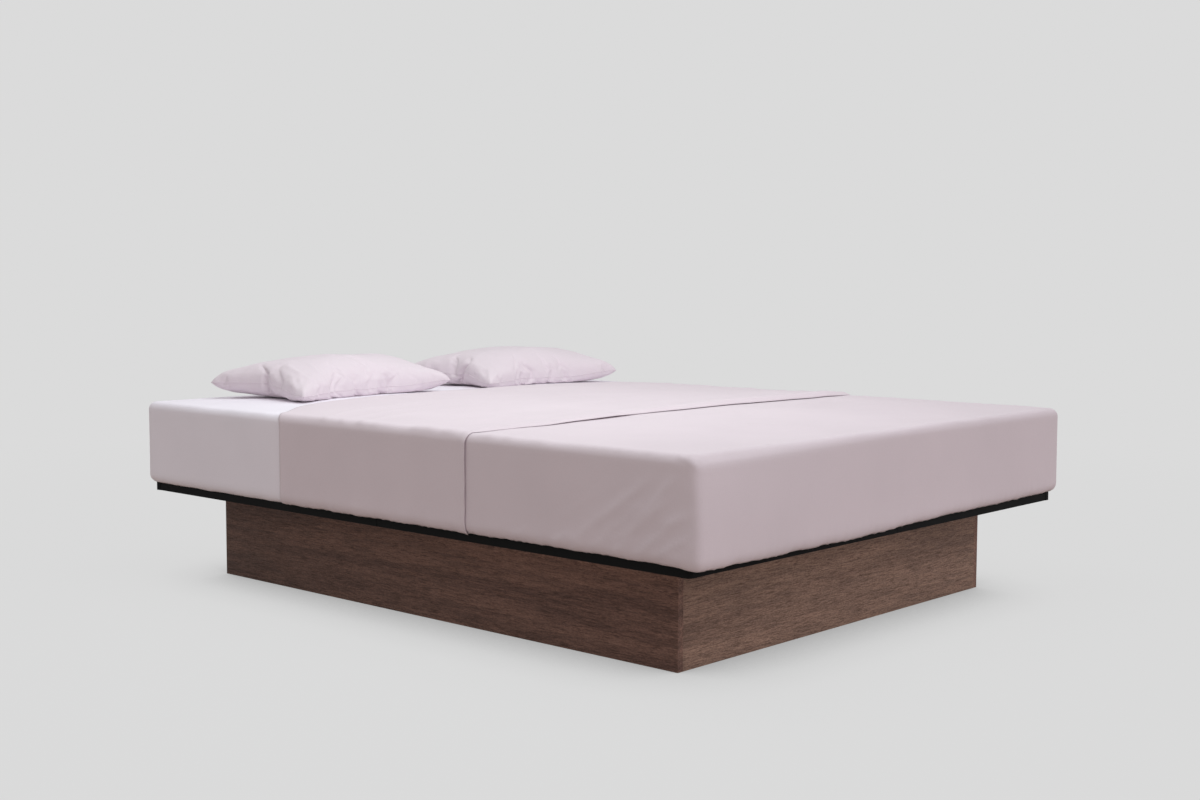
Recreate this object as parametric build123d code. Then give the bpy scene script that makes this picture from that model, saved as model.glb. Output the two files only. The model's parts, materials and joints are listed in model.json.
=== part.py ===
from build123d import *
from math import atan2, cos, degrees, pi, radians, sin
import os

# A softside waterbed on a panel pedestal: the pedestal with its crossing supports, a deck of four
# boards with dark edging, the zipped mattress with its foam rails, liner, heater pads and two water
# cores, the bed linen and two pillows. Millimetres, +Z up, the head of the bed towards +Y, and the
# origin on the floor under the middle of the bed.

# The mattress outside the bed linen, and how far each storey stands in under the one above it
mattress_width = 1636
mattress_length = 2036
mattress_rise = 235
mattress_overhang = 18
deck_overhang_side = 140
deck_overhang_end = 145

# Pedestal
pedestal_height = 248
panel_thickness = 18
arris = 1.0
groove_depth = 6
joint_clearance = 0.3
cross_supports = {"foot": -428, "middle": 0, "head": 428}
corner_block_size = 32
corner_block_setback = 12

# Wood screws, with countersunk heads, placed from the pedestal's corners, floor and top
screw_tip_cover = 5
screw_radius = 2.0
screw_head_radius = 4.0
screw_head_height = 2.4
screw_sides = 6
screw_clearance = 0.1
block_screw_margins = {"side": (60, 78), "end": (85, 53)}
deck_screws_from_end = (155, 655)
deck_screw_from_side = 330

# Deck
deck_thickness = 22
deck_board_gap = 0.6
edging_thickness = 3
edging_round = 1.2
edging_gap = 1.6
deck_corner_radius = 12
corner_cap_leg = 24
corner_cap_proud = 0.8

# The mattress's crown and rounded edges
mattress_crown = 9
crown_flat = 340
crown_steps = 3
top_edge_radius = 28
bottom_edge_radius = 27
upright_edge_radius = 45
top_edge_steps = 3
bottom_edge_steps = 2

# Bed linen: the turned-back flap lies over the top sheet, and that over the fitted sheet
linen_thickness = 0.8
soft_clearance = 0.3
hem_height = 4
flap_crease_from_head = 647
flap_depth = 711
flap_fold = 1.6

# Zipped mattress cover
cover_wall = 8
cover_quilt = 14
cover_base = 3
zip_height = 60
zip_opening = 16
zip_tape_thickness = 0.8
zip_chain_thickness = 2.6
zip_chain_height = 2.8
zip_chain_gap = 1.4
slider_length = 12
slider_height = 10
slider_plate = 1.0
slider_neck = 0.8
slider_from_corner = 30
pull_length = 24
pull_width = 6
pull_pin_radius = 1.0

# Foam, liner and heater pads
rail_base_width = 125
rail_top_width = 75
rail_head_gap = 2.7
base_pad_thickness = 10
liner_thickness = 0.8
liner_lip = 40
heater_width = 330
heater_length = 900
heater_thickness = 3.3
gland_width = 40
gland_length = 24
gland_height = 8
gland_bore_radius = 2.3
gland_bore_depth = 12
gland_bevel = 1.5

# Water cores, their fibre and the foam wall between them
divider_thickness = 40
divider_drop = 6
core_head_gap = 0.9
core_crown = 6
core_crown_flat = 180
core_crown_steps = 2
core_edge_bevel = 12
core_foot_bevel = 8
core_upright_bevel = 20
fibre_layers = 3
fibre_layer_gap = 0.5
fibre_layer_thickness = 40
fibre_side_margin = 60
fibre_end_margin = 110
fibre_lift = 16
fibre_corner_cut = 30

# Fill valves
valve_from_end = 160
valve_well_radius = 48
valve_well_depth = 34
flange_radius = 40
flange_thickness = 2
spout_radius = 19
spout_bore_radius = 16
spout_height = 20
plug_clearance = 0.3
plug_depth = 12
plug_rim = 1.5
cap_clearance = 0.4
cap_wall = 3.6
cap_top = 2.5
cap_skirt = 15
cap_grip_sides = 12
cap_grip_edge = 1.0

# Pillows
pillow_width = 620
pillow_depth = 400
pillow_crown = 64
pillow_crown_reach = 160
pillow_crown_steps = 5
pillow_underside = 42
pillow_underside_reach = 80
pillow_underside_steps = 2
pillow_seam_angle = 30
pillow_seam_bow = -14
pillow_top_bow = 12
pillow_seam_corner = 9
pillow_top_corner = 30
pillow_side_steps = 4
pillow_corner_steps = 2
pillow_cloth = 1.2
pillow_places = {
    "left": {"from_side": 508, "from_head": 228, "turn": 5},
    "right": {"from_side": 373, "from_head": 233, "turn": 1.5},
}

# Heights and insets that follow from the sizes above
deck_width = mattress_width - 2 * mattress_overhang
deck_length = mattress_length - 2 * mattress_overhang
pedestal_width = deck_width - 2 * deck_overhang_side
pedestal_length = deck_length - 2 * deck_overhang_end
deck_top = pedestal_height + deck_thickness
screw_length = corner_block_size + panel_thickness - screw_tip_cover
flap_crease = mattress_length / 2 - flap_crease_from_head
flap_free_edge = flap_crease - flap_depth
linen_step = linen_thickness + soft_clearance
top_sheet_inset = linen_step
fitted_sheet_inset = 2 * linen_step
cover_inset = 3 * linen_step
cover_cavity = {
    "side": cover_inset + cover_wall,
    "top": cover_inset + cover_quilt,
    "bottom": cover_inset + cover_base,
}
rail_inset = cover_cavity["side"] + soft_clearance
rail_floor = deck_top + cover_base
rail_top = deck_top + mattress_rise - cover_cavity["top"] - rail_head_gap
rail_height = rail_top - rail_floor
pad_top = rail_floor + base_pad_thickness
liner_floor = pad_top + liner_thickness
core_rise = deck_top + mattress_rise - cover_cavity["top"] - core_head_gap - liner_floor
zip_middle = deck_top + zip_height
zip_inset = cover_inset + 2 * slider_plate + 2 * joint_clearance + zip_chain_thickness / 2
core_inset = liner_thickness + 2 * soft_clearance
rail_lean = degrees(atan2(rail_base_width - rail_top_width, rail_height))
crown_reach = (mattress_width - crown_flat) / 2 - upright_edge_radius
ends = {"foot": -1, "head": 1}
sides = {"left": -1, "right": 1}


def slab(x, y, z):
    """A box from its lowest and highest values along each axis."""
    size = [high - low for low, high in (x, y, z)]
    middle = [(high + low) / 2 for low, high in (x, y, z)]
    return Pos(*middle) * Box(*size)


def span(sign, inner, outer):
    """The low and high ends of a stretch from inner to outer, on the side that sign gives."""
    return tuple(sorted((sign * inner, sign * outer)))


# Screws and their holes


def screw(radius, head_radius):
    """A countersunk screw along +Z, with the top of its head at the origin."""
    draw_in = (head_radius - radius) * cos(pi / screw_sides)
    slope = degrees(atan2(draw_in, screw_head_height))
    head = extrude(RegularPolygon(head_radius, screw_sides), amount=screw_head_height, taper=slope)
    shank = Pos(0, 0, screw_head_height) * RegularPolygon(radius, screw_sides)
    return head + extrude(shank, amount=screw_length - screw_head_height)


def placed(shape, point, direction):
    """The shape, made along +Z, moved to the point and turned along the direction."""
    return Plane(origin=point, z_dir=direction).location * shape


def block_centre(x_sign, y_sign):
    half = corner_block_size / 2
    x = x_sign * (pedestal_width / 2 - panel_thickness - half)
    y = y_sign * (pedestal_length / 2 - panel_thickness - half)
    return x, y


def block_screw_places(x_sign, y_sign):
    """Where a corner block's screws start and which way they run."""
    x, y = block_centre(x_sign, y_sign)
    half = corner_block_size / 2
    heights = {way: (low, pedestal_height - high) for way, (low, high) in block_screw_margins.items()}
    into_side = [((x - x_sign * half, y, z), (x_sign, 0, 0)) for z in heights["side"]]
    into_end = [((x, y - y_sign * half, z), (0, y_sign, 0)) for z in heights["end"]]
    return into_side + into_end


def deck_screws_of(x_sign, y_sign):
    """Where the screws of one deck board start; all run down into the panels' top edges."""
    x_side = x_sign * (pedestal_width - panel_thickness) / 2
    y_end = y_sign * (pedestal_length - panel_thickness) / 2
    along = [y_sign * (pedestal_length / 2 - margin) for margin in deck_screws_from_end]
    points = [(x_side, y, deck_top) for y in along]
    points.append((x_sign * (pedestal_width / 2 - deck_screw_from_side), y_end, deck_top))
    return [(point, (0, 0, -1)) for point in points]


def all_screws(places_of):
    screws = []
    for x_sign in sides.values():
        for y_sign in ends.values():
            screws += places_of(x_sign, y_sign)
    return screws


def drilled(part, places):
    """The part with a hole for each screw that reaches it."""
    drill = screw(screw_radius + screw_clearance, screw_head_radius + screw_clearance)
    for point, direction in places:
        part -= placed(drill, point, direction)
    return part


def screw_group(places):
    fastener = screw(screw_radius, screw_head_radius)
    return Compound([placed(fastener, *place) for place in places])


# Pedestal


def side_panel(x_sign):
    """A long side panel, grooved inside for the cross supports."""
    x = span(x_sign, pedestal_width / 2 - panel_thickness, pedestal_width / 2)
    y = (-pedestal_length / 2, pedestal_length / 2)
    panel = slab(x, y, (0, pedestal_height))
    face = x_sign * pedestal_width / 2
    outer = panel.edges().filter_by(Axis.Z).filter_by_position(Axis.X, face - 1, face + 1)
    panel = chamfer(outer, arris)
    inner = pedestal_width / 2 - panel_thickness
    groove_x = span(x_sign, inner, inner + groove_depth)
    half = panel_thickness / 2 + joint_clearance
    for y in cross_supports.values():
        panel -= slab(groove_x, (y - half, y + half), (0, pedestal_height))
    return drilled(panel, all_screws(block_screw_places) + all_screws(deck_screws_of))


def end_panel(y_sign):
    """The foot or head panel, between the side panels and grooved for the long support."""
    half_width = pedestal_width / 2 - panel_thickness
    y = span(y_sign, pedestal_length / 2 - panel_thickness, pedestal_length / 2)
    panel = slab((-half_width, half_width), y, (0, pedestal_height))
    inner = pedestal_length / 2 - panel_thickness
    half = panel_thickness / 2 + joint_clearance
    panel -= slab((-half, half), span(y_sign, inner, inner + groove_depth), (0, pedestal_height))
    return drilled(panel, all_screws(block_screw_places) + all_screws(deck_screws_of))


def long_support():
    """The lengthwise support, slotted from above where the cross supports drop in."""
    reach = pedestal_length / 2 - panel_thickness + groove_depth - joint_clearance
    half = panel_thickness / 2
    board = slab((-half, half), (-reach, reach), (0, pedestal_height))
    slot = half + joint_clearance
    for y in cross_supports.values():
        slot_z = (pedestal_height / 2, pedestal_height)
        board -= slab((-half, half), (y - slot, y + slot), slot_z)
    return board


def cross_support(y):
    """A cross support, slotted from below to straddle the lengthwise one."""
    reach = pedestal_width / 2 - panel_thickness + groove_depth - joint_clearance
    half = panel_thickness / 2
    board = slab((-reach, reach), (y - half, y + half), (0, pedestal_height))
    slot = half + joint_clearance
    return board - slab((-slot, slot), (y - half, y + half), (0, pedestal_height / 2))


def corner_block(x_sign, y_sign):
    x, y = block_centre(x_sign, y_sign)
    height = pedestal_height - 2 * corner_block_setback
    block = Pos(x, y, pedestal_height / 2) * Box(corner_block_size, corner_block_size, height)
    inner = block.edges().filter_by(Axis.Z).sort_by(lambda edge: abs(edge.center().X))[:2]
    inner = inner.sort_by(lambda edge: abs(edge.center().Y))[:1]
    block = chamfer(inner, corner_block_size / 4)
    return drilled(block, block_screw_places(x_sign, y_sign))


# Deck


def deck_board(x_sign, y_sign):
    """A quarter of the deck, rounded at its outer corner where the cap sits."""
    x = span(x_sign, deck_board_gap / 2, deck_width / 2 - edging_thickness)
    y = span(y_sign, deck_board_gap / 2, deck_length / 2 - edging_thickness)
    board = slab(x, y, (pedestal_height, deck_top))
    outer = board.edges().filter_by(Axis.Z).sort_by(lambda e: abs(e.center().X))[-2:]
    outer = outer.sort_by(lambda e: abs(e.center().Y))[-1:]
    board = fillet(outer, deck_corner_radius - edging_thickness)
    return drilled(board, deck_screws_of(x_sign, y_sign))


def edging(length_end, across, along_x, across_sign, along_sign):
    """One strip along half a side, from the joint at its middle to the corner cap."""
    along = span(along_sign, edging_gap / 2, length_end - corner_cap_leg - joint_clearance)
    depth = span(across_sign, across - edging_thickness, across)
    x, y = (along, depth) if along_x else (depth, along)
    strip = slab(x, y, (pedestal_height, deck_top))
    axis = Axis.X if along_x else Axis.Y
    outward = Axis.Y if along_x else Axis.X
    face = across_sign * across
    long_edges = strip.edges().filter_by(axis).filter_by_position(outward, face - 1, face + 1)
    return fillet(long_edges, edging_round)


def corner_cap(x_sign, y_sign):
    """A cap that wraps the deck's corner, standing a little proud of the edging."""
    half = (deck_width / 2, deck_length / 2)
    x = span(x_sign, half[0] - corner_cap_leg, half[0] + corner_cap_proud)
    y = span(y_sign, half[1] - corner_cap_leg, half[1] + corner_cap_proud)
    cap = slab(x, y, (pedestal_height, deck_top))
    corner = cap.edges().filter_by(Axis.Z).sort_by(lambda e: abs(e.center().X) + abs(e.center().Y))
    cap = fillet(corner[-1:], deck_corner_radius + corner_cap_proud)
    inner_x = span(x_sign, 0, half[0] - edging_thickness)
    inner_y = span(y_sign, 0, half[1] - edging_thickness)
    inner = slab(inner_x, inner_y, (pedestal_height, deck_top))
    corner = inner.edges().filter_by(Axis.Z).sort_by(lambda e: abs(e.center().X) + abs(e.center().Y))
    return cap - fillet(corner[-1:], deck_corner_radius - edging_thickness)


# Mattress envelope


def rounding(radius, steps):
    """How far each level of a rounded edge draws in and how far it rises."""
    angles = [radians(90 * step / steps) for step in range(steps + 1)]
    return [(radius * (1 - cos(angle)), radius * sin(angle)) for angle in angles]


def crown(reach, rise, steps):
    """How far each level of a crown lies in from its shoulder and how far above it."""
    shares = [step / steps for step in range(steps + 1)]
    return [(reach * share, rise * (1 - (1 - share) ** 2)) for share in shares]


def bevels(plan_at, levels):
    """Layers with straight leaning sides that follow levels of draw-in and height."""
    layers = []
    for (near, low), (far, high) in zip(levels, levels[1:]):
        slope = degrees(atan2(far - near, high - low))
        layers.append(extrude(Pos(0, 0, low) * plan_at(near), amount=high - low, taper=slope))
    return layers


def envelope_plan(inset):
    """The mattress's outline seen from above, moved in by the inset."""
    size = (mattress_width - 2 * inset, mattress_length - 2 * inset)
    return RectangleRounded(*size, upright_edge_radius - inset)


def crown_plan(inset):
    """The outline of the crown's bevels, which have square corners."""
    size = (mattress_width - 2 * inset, mattress_length - 2 * inset)
    return Rectangle(*size)


def envelope(side, top, bottom):
    """The mattress and linen shape, moved in from its outside by side, top and bottom."""
    base = deck_top - cover_inset + bottom
    shoulder = deck_top + mattress_rise - top
    low = base + bottom_edge_radius - side
    high = shoulder - top_edge_radius + side
    block = extrude(Pos(0, 0, low) * envelope_plan(side), amount=high - low)
    edge = rounding(shoulder - high, top_edge_steps)
    for layer in bevels(lambda inset: envelope_plan(side + inset), edge):
        block += Pos(0, 0, high) * layer
    foot = rounding(low - base, bottom_edge_steps)
    for layer in bevels(lambda inset: envelope_plan(side + inset), foot):
        block += Pos(0, 0, low) * mirror(layer, about=Plane.XY)
    rise = crown(crown_reach, mattress_crown, crown_steps)
    for layer in bevels(lambda inset: crown_plan(upright_edge_radius + inset), rise):
        block += Pos(0, 0, shoulder) * layer
    return block


def even_envelope(inset):
    return envelope(inset, inset, inset)


def crown_height(x, y, inset):
    """Height of the envelope's crown over a place, moved in by the inset."""
    from_side = min(mattress_width / 2 - abs(x), mattress_length / 2 - abs(y))
    share = min(max((from_side - upright_edge_radius) / crown_reach, 0), 1)
    return deck_top + mattress_rise - inset + mattress_crown * (1 - (1 - share) ** 2)


def ring(outer, inner, low, high):
    """An upright band round the mattress between two insets and two heights."""
    plan = envelope_plan(outer) - envelope_plan(inner)
    return extrude(Pos(0, 0, low) * plan, amount=high - low)


# Bed linen


def cloth_skin(inset, foot, head):
    """One layer of cloth over the mattress between two places along the bed, open below."""
    skin = even_envelope(inset) - even_envelope(inset + linen_thickness)
    width = (-mattress_width, mattress_width)
    return skin & slab(width, (foot, head), (deck_top + hem_height, deck_top + 2 * mattress_rise))


def fitted_sheet():
    return cloth_skin(fitted_sheet_inset, -mattress_length, mattress_length)


def top_sheet():
    """The sheet from the foot to its crease, with the flap turned back over it."""
    lying = cloth_skin(top_sheet_inset, -mattress_length, flap_crease)
    flap = cloth_skin(0, flap_free_edge, flap_crease)
    crease = even_envelope(0) - even_envelope(top_sheet_inset + linen_thickness)
    width = (-mattress_width, mattress_width)
    height = (deck_top + hem_height, deck_top + 2 * mattress_rise)
    crease &= slab(width, (flap_crease - flap_fold, flap_crease), height)
    return lying + flap + crease


# Mattress cover and its zip


def cover_shell():
    """The whole cover as a closed shell, before the zip parts it."""
    outside = even_envelope(cover_inset)
    return outside - envelope(cover_cavity["side"], cover_cavity["top"], cover_cavity["bottom"])


def top_cover():
    width = (-mattress_width, mattress_width)
    length = (-mattress_length, mattress_length)
    return cover_shell() & slab(width, length, (zip_middle + zip_opening / 2, 2 * deck_top))


def base_cover():
    width = (-mattress_width, mattress_width)
    length = (-mattress_length, mattress_length)
    return cover_shell() & slab(width, length, (0, zip_middle - zip_opening / 2))


def zip_half(z_sign):
    """A zip tape with its half of the chain, from the cover's edge to the gap in the middle."""
    tape = span(z_sign, zip_chain_gap / 2, zip_opening / 2)
    chain = span(z_sign, zip_chain_gap / 2, zip_chain_gap / 2 + zip_chain_height)
    band = None
    for thickness, height in ((zip_tape_thickness, tape), (zip_chain_thickness, chain)):
        low, high = (zip_middle + value for value in height)
        piece = ring(zip_inset - thickness / 2, zip_inset + thickness / 2, low, high)
        band = piece if band is None else band + piece
    return band


def zip_slider():
    """Two plates either side of the chain with a neck between them, and the pull on its pin."""
    chain_y = -mattress_length / 2 + zip_inset
    x = -mattress_width / 2 + upright_edge_radius + slider_from_corner
    chain_side = zip_chain_thickness / 2 + joint_clearance
    plate_y = chain_side + slider_plate / 2
    body = Pos(x, chain_y, zip_middle) * Box(slider_neck * 4, 2 * chain_side, slider_neck)
    for side in (-1, 1):
        plate = Box(slider_length, slider_plate, slider_height)
        plate = chamfer(plate.edges().filter_by(Axis.Y), slider_height / 4)
        body += Pos(x, chain_y + side * plate_y, zip_middle) * plate
    pull_gap = joint_clearance
    outer_face = chain_y - chain_side - slider_plate
    pin_length = slider_plate + pull_gap
    pin = Rot(90, 0, 0) * Cylinder(pull_pin_radius, pin_length)
    body += Pos(x, outer_face - pin_length / 2, zip_middle) * pin
    pull = Box(pull_length, slider_plate, pull_width)
    pull = chamfer(pull.edges().filter_by(Axis.Y), pull_width / 4)
    eye = Rot(90, 0, 0) * Cylinder(pull_pin_radius + pull_gap, 2 * slider_plate)
    eye_x = pull_length / 2 - pull_width / 2
    pull -= Pos(-eye_x, 0, 0) * eye
    pull = Pos(x + eye_x, outer_face - pull_gap - slider_plate / 2, zip_middle) * pull
    return Compound([body, pull])


# Foam rails, base pad, liner and heater pads


def basin_half(axis_length, height, inset):
    """Half the width of the space inside the rails at a height, moved in by the inset."""
    share = (height - rail_floor) / rail_height
    rail_width = rail_base_width + (rail_top_width - rail_base_width) * share
    return axis_length / 2 - rail_inset - rail_width - inset


def basin(inset, low, high):
    """The space inside the rails between two heights, moved in by the inset."""
    width = 2 * basin_half(mattress_width, low, inset)
    length = 2 * basin_half(mattress_length, low, inset)
    plan = Pos(0, 0, low) * Rectangle(width, length)
    return extrude(plan, amount=high - low, taper=-rail_lean)


def long_slot():
    """The lengthwise trough between the long rails, open at both ends."""
    low = basin_half(mattress_width, rail_floor, 0)
    high = basin_half(mattress_width, rail_top, 0)
    points = [(-high, rail_top), (-low, rail_floor), (low, rail_floor), (high, rail_top)]
    face = Plane.XZ * make_face(Polyline(points, close=True))
    return extrude(face, amount=mattress_length, both=True)


def foam_rails():
    """The four foam rails: long ones the full length and short ones between them."""
    block = envelope(rail_inset, cover_cavity["top"] + soft_clearance, cover_cavity["bottom"])
    width = (-mattress_width, mattress_width)
    length = (-mattress_length, mattress_length)
    block &= slab(width, length, (rail_floor, rail_top))
    frame = block - basin(0, rail_floor, rail_top)
    trough = long_slot()
    rails = {}
    for name, x_sign in sides.items():
        half = slab(span(x_sign, 0, mattress_width), length, (rail_floor, rail_top))
        rails["foam_rail_" + name] = (frame - trough) & half
    for name, y_sign in ends.items():
        half = slab(width, span(y_sign, 0, mattress_length), (rail_floor, rail_top))
        rails["foam_rail_" + name] = (frame & trough) & half
    return rails


def heater_place(x_sign):
    """The middle of a heater pad, halfway between the foam divider and the rail."""
    outer = basin_half(mattress_width, pad_top, 0)
    return x_sign * (divider_thickness / 2 + outer) / 2


def gland_block(clearance):
    """The moulded block under the pad's foot end where the lead would enter."""
    height = gland_height - heater_thickness + clearance
    width = gland_width + 2 * clearance
    length = gland_length + 2 * clearance
    y = -heater_length / 2 + gland_length / 2
    return Pos(0, y, pad_top - heater_thickness - height / 2) * Box(width, length, height)


def heater_pad(x_sign):
    """A thin pad with the gland's block under its foot end and a bore for the lead."""
    pad = Box(heater_width, heater_length, heater_thickness)
    pad = fillet(pad.edges().filter_by(Axis.Z), gland_length / 2)
    pad = Pos(0, 0, pad_top - heater_thickness / 2) * pad
    block = gland_block(0)
    under = block.edges().group_by(Axis.Z)[0]
    pad += chamfer(under, gland_bevel)
    bore_z = pad_top - heater_thickness - (gland_height - heater_thickness) / 2
    bore = Rot(90, 0, 0) * Cylinder(gland_bore_radius, 2 * gland_bore_depth)
    pad -= Pos(0, -heater_length / 2, bore_z) * bore
    return Pos(heater_place(x_sign), 0, 0) * pad


def base_pad():
    """A foam pad inside the rails with a recess for each heater pad and its gland."""
    pad = basin(soft_clearance, rail_floor, pad_top)
    recess = Box(heater_width + 1, heater_length + 1, heater_thickness)
    for x_sign in sides.values():
        x = heater_place(x_sign)
        pad -= Pos(x, 0, pad_top - heater_thickness / 2) * recess
        pad -= Pos(x, 0, 0) * gland_block(soft_clearance)
    return pad


def safety_liner():
    """An open vinyl tray inside the rails, with a lip that lies on their tops."""
    tray = basin(soft_clearance, pad_top, rail_top + liner_thickness)
    inner = soft_clearance + liner_thickness
    tray -= basin(inner, liner_floor, rail_top + liner_thickness)
    half_x = basin_half(mattress_width, rail_top, inner)
    half_y = basin_half(mattress_length, rail_top, inner)
    reach = liner_lip + inner
    height = (rail_top, rail_top + liner_thickness)
    lip = slab((-half_x - reach, half_x + reach), (-half_y - reach, half_y + reach), height)
    lip -= slab((-half_x, half_x), (-half_y, half_y), height)
    return tray + lip


# Water cores and what is in them


def core_spans():
    """Where a core's sides lie at its floor and at its shoulder, on the +X side."""
    floor, shoulder = liner_floor, liner_floor + core_rise
    inner = divider_thickness / 2 + soft_clearance
    across = [basin_half(mattress_width, z, core_inset) for z in (floor, shoulder)]
    along = [basin_half(mattress_length, z, core_inset) for z in (floor, shoulder)]
    return floor, shoulder, inner, across, along


def core_block():
    """The water core on the +X side, before its well and cavity are cut."""
    floor, shoulder, inner, across, along = core_spans()
    length = (-mattress_length, mattress_length)
    half = slab((inner, mattress_width), length, (floor, shoulder))
    block = basin(core_inset, floor, shoulder) & half
    block = chamfer(block.edges().group_by(Axis.Z)[1], core_upright_bevel)
    block = chamfer(block.edges().group_by(Axis.Z)[-1], core_edge_bevel)
    block = chamfer(block.edges().group_by(Axis.Z)[0], core_foot_bevel)
    inset = core_edge_bevel + core_upright_bevel
    width, length = across[1] - inner - 2 * inset, 2 * (along[1] - inset)
    levels = crown((width - core_crown_flat) / 2, core_crown, core_crown_steps)
    for layer in bevels(lambda inset: Rectangle(width - 2 * inset, length - 2 * inset), levels):
        block += Pos((inner + across[1]) / 2, 0, shoulder) * layer
    return block


def valve_place():
    """The valve's axis on the +X core and the height of the floor of its well."""
    floor, shoulder, inner, across, along = core_spans()
    x = (inner + across[1]) / 2
    y = -along[1] + valve_from_end
    return x, y, shoulder - valve_well_depth


def fibre_pad(clearance):
    """The fibre's outline in the +X core, grown by the clearance."""
    floor, shoulder, inner, across, along = core_spans()
    x = (inner + across[0]) / 2
    width = across[0] - inner - 2 * fibre_side_margin + 2 * clearance
    length = 2 * (along[0] - fibre_end_margin) + 2 * clearance
    plan = Rectangle(width, length)
    plan = chamfer(plan.vertices(), fibre_corner_cut)
    return Pos(x, 0, floor + fibre_lift) * plan


def fibre_insert(x_sign):
    """Layers of fibre lying on each other inside the core."""
    layers = []
    for index in range(fibre_layers):
        layer = extrude(fibre_pad(0), amount=fibre_layer_thickness)
        layers.append(Pos(0, 0, index * (fibre_layer_thickness + fibre_layer_gap)) * layer)
    return on_side(Compound(layers), x_sign)


def water_core(x_sign):
    """A vinyl core with its water, hollow where the fibre is and dished round its valve."""
    height = fibre_layers * (fibre_layer_thickness + fibre_layer_gap) + soft_clearance
    cavity = extrude(Pos(0, 0, -soft_clearance) * fibre_pad(soft_clearance), amount=height)
    x, y, z = valve_place()
    well = Pos(x, y, z + valve_well_depth) * Cylinder(valve_well_radius, 2 * valve_well_depth)
    return on_side(core_block() - cavity - well, x_sign)


def on_side(shape, x_sign):
    """The shape as made on the +X side, or mirrored to the other."""
    return shape if x_sign > 0 else mirror(shape, about=Plane.YZ)


def foam_divider():
    """The foam wall between the cores, cut off square to the liner at both ends."""
    high = liner_floor + core_rise - divider_drop
    half = divider_thickness / 2
    wall = slab((-half, half), (-mattress_length, mattress_length), (liner_floor, high))
    return wall & basin(core_inset, liner_floor, high)


# Fill valves


def tube(outer, bore, low, high):
    body = Cylinder(outer, high - low) - Cylinder(bore, high - low)
    return Pos(0, 0, (low + high) / 2) * body


def at_valve(shape, x_sign):
    x, y, z = valve_place()
    return Pos(x_sign * x, y, z) * shape


def both_valves(shape):
    return Compound([at_valve(shape, x_sign) for x_sign in sides.values()])


def valve_body():
    """A flange welded to the core with the spout standing on it."""
    mouth = flange_thickness + spout_height
    body = tube(flange_radius, spout_bore_radius, 0, flange_thickness)
    return body + tube(spout_radius, spout_bore_radius, flange_thickness, mouth)


def valve_plug():
    """The stopper in the spout, with a rim that lies on the spout's mouth."""
    mouth = flange_thickness + spout_height
    stopper = Cylinder(spout_bore_radius - plug_clearance, plug_depth)
    rim = Cylinder(spout_radius - plug_rim, plug_rim)
    return Pos(0, 0, mouth - plug_depth / 2) * stopper + Pos(0, 0, mouth + plug_rim / 2) * rim


def valve_cap():
    """The screw cap over the spout, with flats to grip round its skirt."""
    roof = flange_thickness + spout_height + plug_rim + joint_clearance
    bore = spout_radius + cap_clearance
    skirt = roof - cap_skirt
    grip = RegularPolygon(bore + cap_wall, cap_grip_sides, major_radius=False)
    cap = extrude(Pos(0, 0, skirt) * grip, amount=cap_skirt + cap_top)
    cap = chamfer(cap.edges().group_by(Axis.Z)[-1], cap_grip_edge)
    return cap - Pos(0, 0, roof - cap_skirt) * Cylinder(bore, 2 * cap_skirt)


# Pillows


def pillow_ring(half_width, half_depth, bow, corner, height):
    """Points round a pillow at a height: rounded corners, and sides bowed by a parabola."""
    points = []
    for index, (x_sign, y_sign) in enumerate(((1, 1), (-1, 1), (-1, -1), (1, -1))):
        x, y = x_sign * (half_width - corner), y_sign * (half_depth - corner)
        for step in range(pillow_corner_steps + 1):
            angle = radians(90 * (index + step / pillow_corner_steps))
            points.append((x + corner * cos(angle), y + corner * sin(angle)))
        run = half_depth - corner if index % 2 else half_width - corner
        way = (-x_sign, 0) if index % 2 == 0 else (0, -y_sign)
        start_x, start_y = points[-1]
        for step in range(1, pillow_side_steps):
            moved = 2 * run * step / pillow_side_steps
            points.append((start_x + moved * way[0], start_y + moved * way[1]))
    ring = []
    for x, y in points:
        u, v = x / half_width, y / half_depth
        ring.append((x + bow * u * (1 - v * v), y + bow * v * (1 - u * u), height))
    return ring


def pillow_rings(inset, depth, reach, steps):
    """The rings of one half, from its seam to its flat; a negative depth is the underside."""
    start = radians(pillow_seam_angle)
    rings = []
    for step in range(steps + 1):
        share = step / steps
        angle = start + share * (radians(90) - start)
        draw_in = reach * (cos(start) - cos(angle)) / cos(start)
        height = depth * (sin(angle) - sin(start)) / (1 - sin(start))
        bow = pillow_seam_bow + share * (pillow_top_bow - pillow_seam_bow)
        corner = pillow_seam_corner + share * (pillow_top_corner - pillow_seam_corner)
        half_width = pillow_width / 2 - inset - draw_in
        half_depth = pillow_depth / 2 - inset - draw_in
        rings.append(pillow_ring(half_width, half_depth, bow, corner, height))
    return rings


def skinned(rings):
    """A solid skinned with flat facets between rings of points, closed at both ends."""
    faces = [Face(Wire.make_polygon(ring)) for ring in (rings[0], rings[-1])]
    for ring, following in zip(rings, rings[1:]):
        for index in range(len(ring)):
            a, b = ring[index - 1], ring[index]
            c, d = following[index - 1], following[index]
            faces.append(Face(Wire.make_polygon([a, b, d])))
            faces.append(Face(Wire.make_polygon([a, d, c])))
    return Solid(Shell(faces))


def pillow_form(inset):
    """A pillow about its seam: a full crown above and a flatter underside."""
    above = (pillow_crown - inset, pillow_crown_reach, pillow_crown_steps)
    below = (inset - pillow_underside, pillow_underside_reach, pillow_underside_steps)
    return skinned(pillow_rings(inset, *below)[::-1] + pillow_rings(inset, *above)[1:])


def pillow_middle(name):
    place = pillow_places[name]
    return sides[name] * (mattress_width / 2 - place["from_side"]), mattress_length / 2 - place["from_head"]


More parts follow.
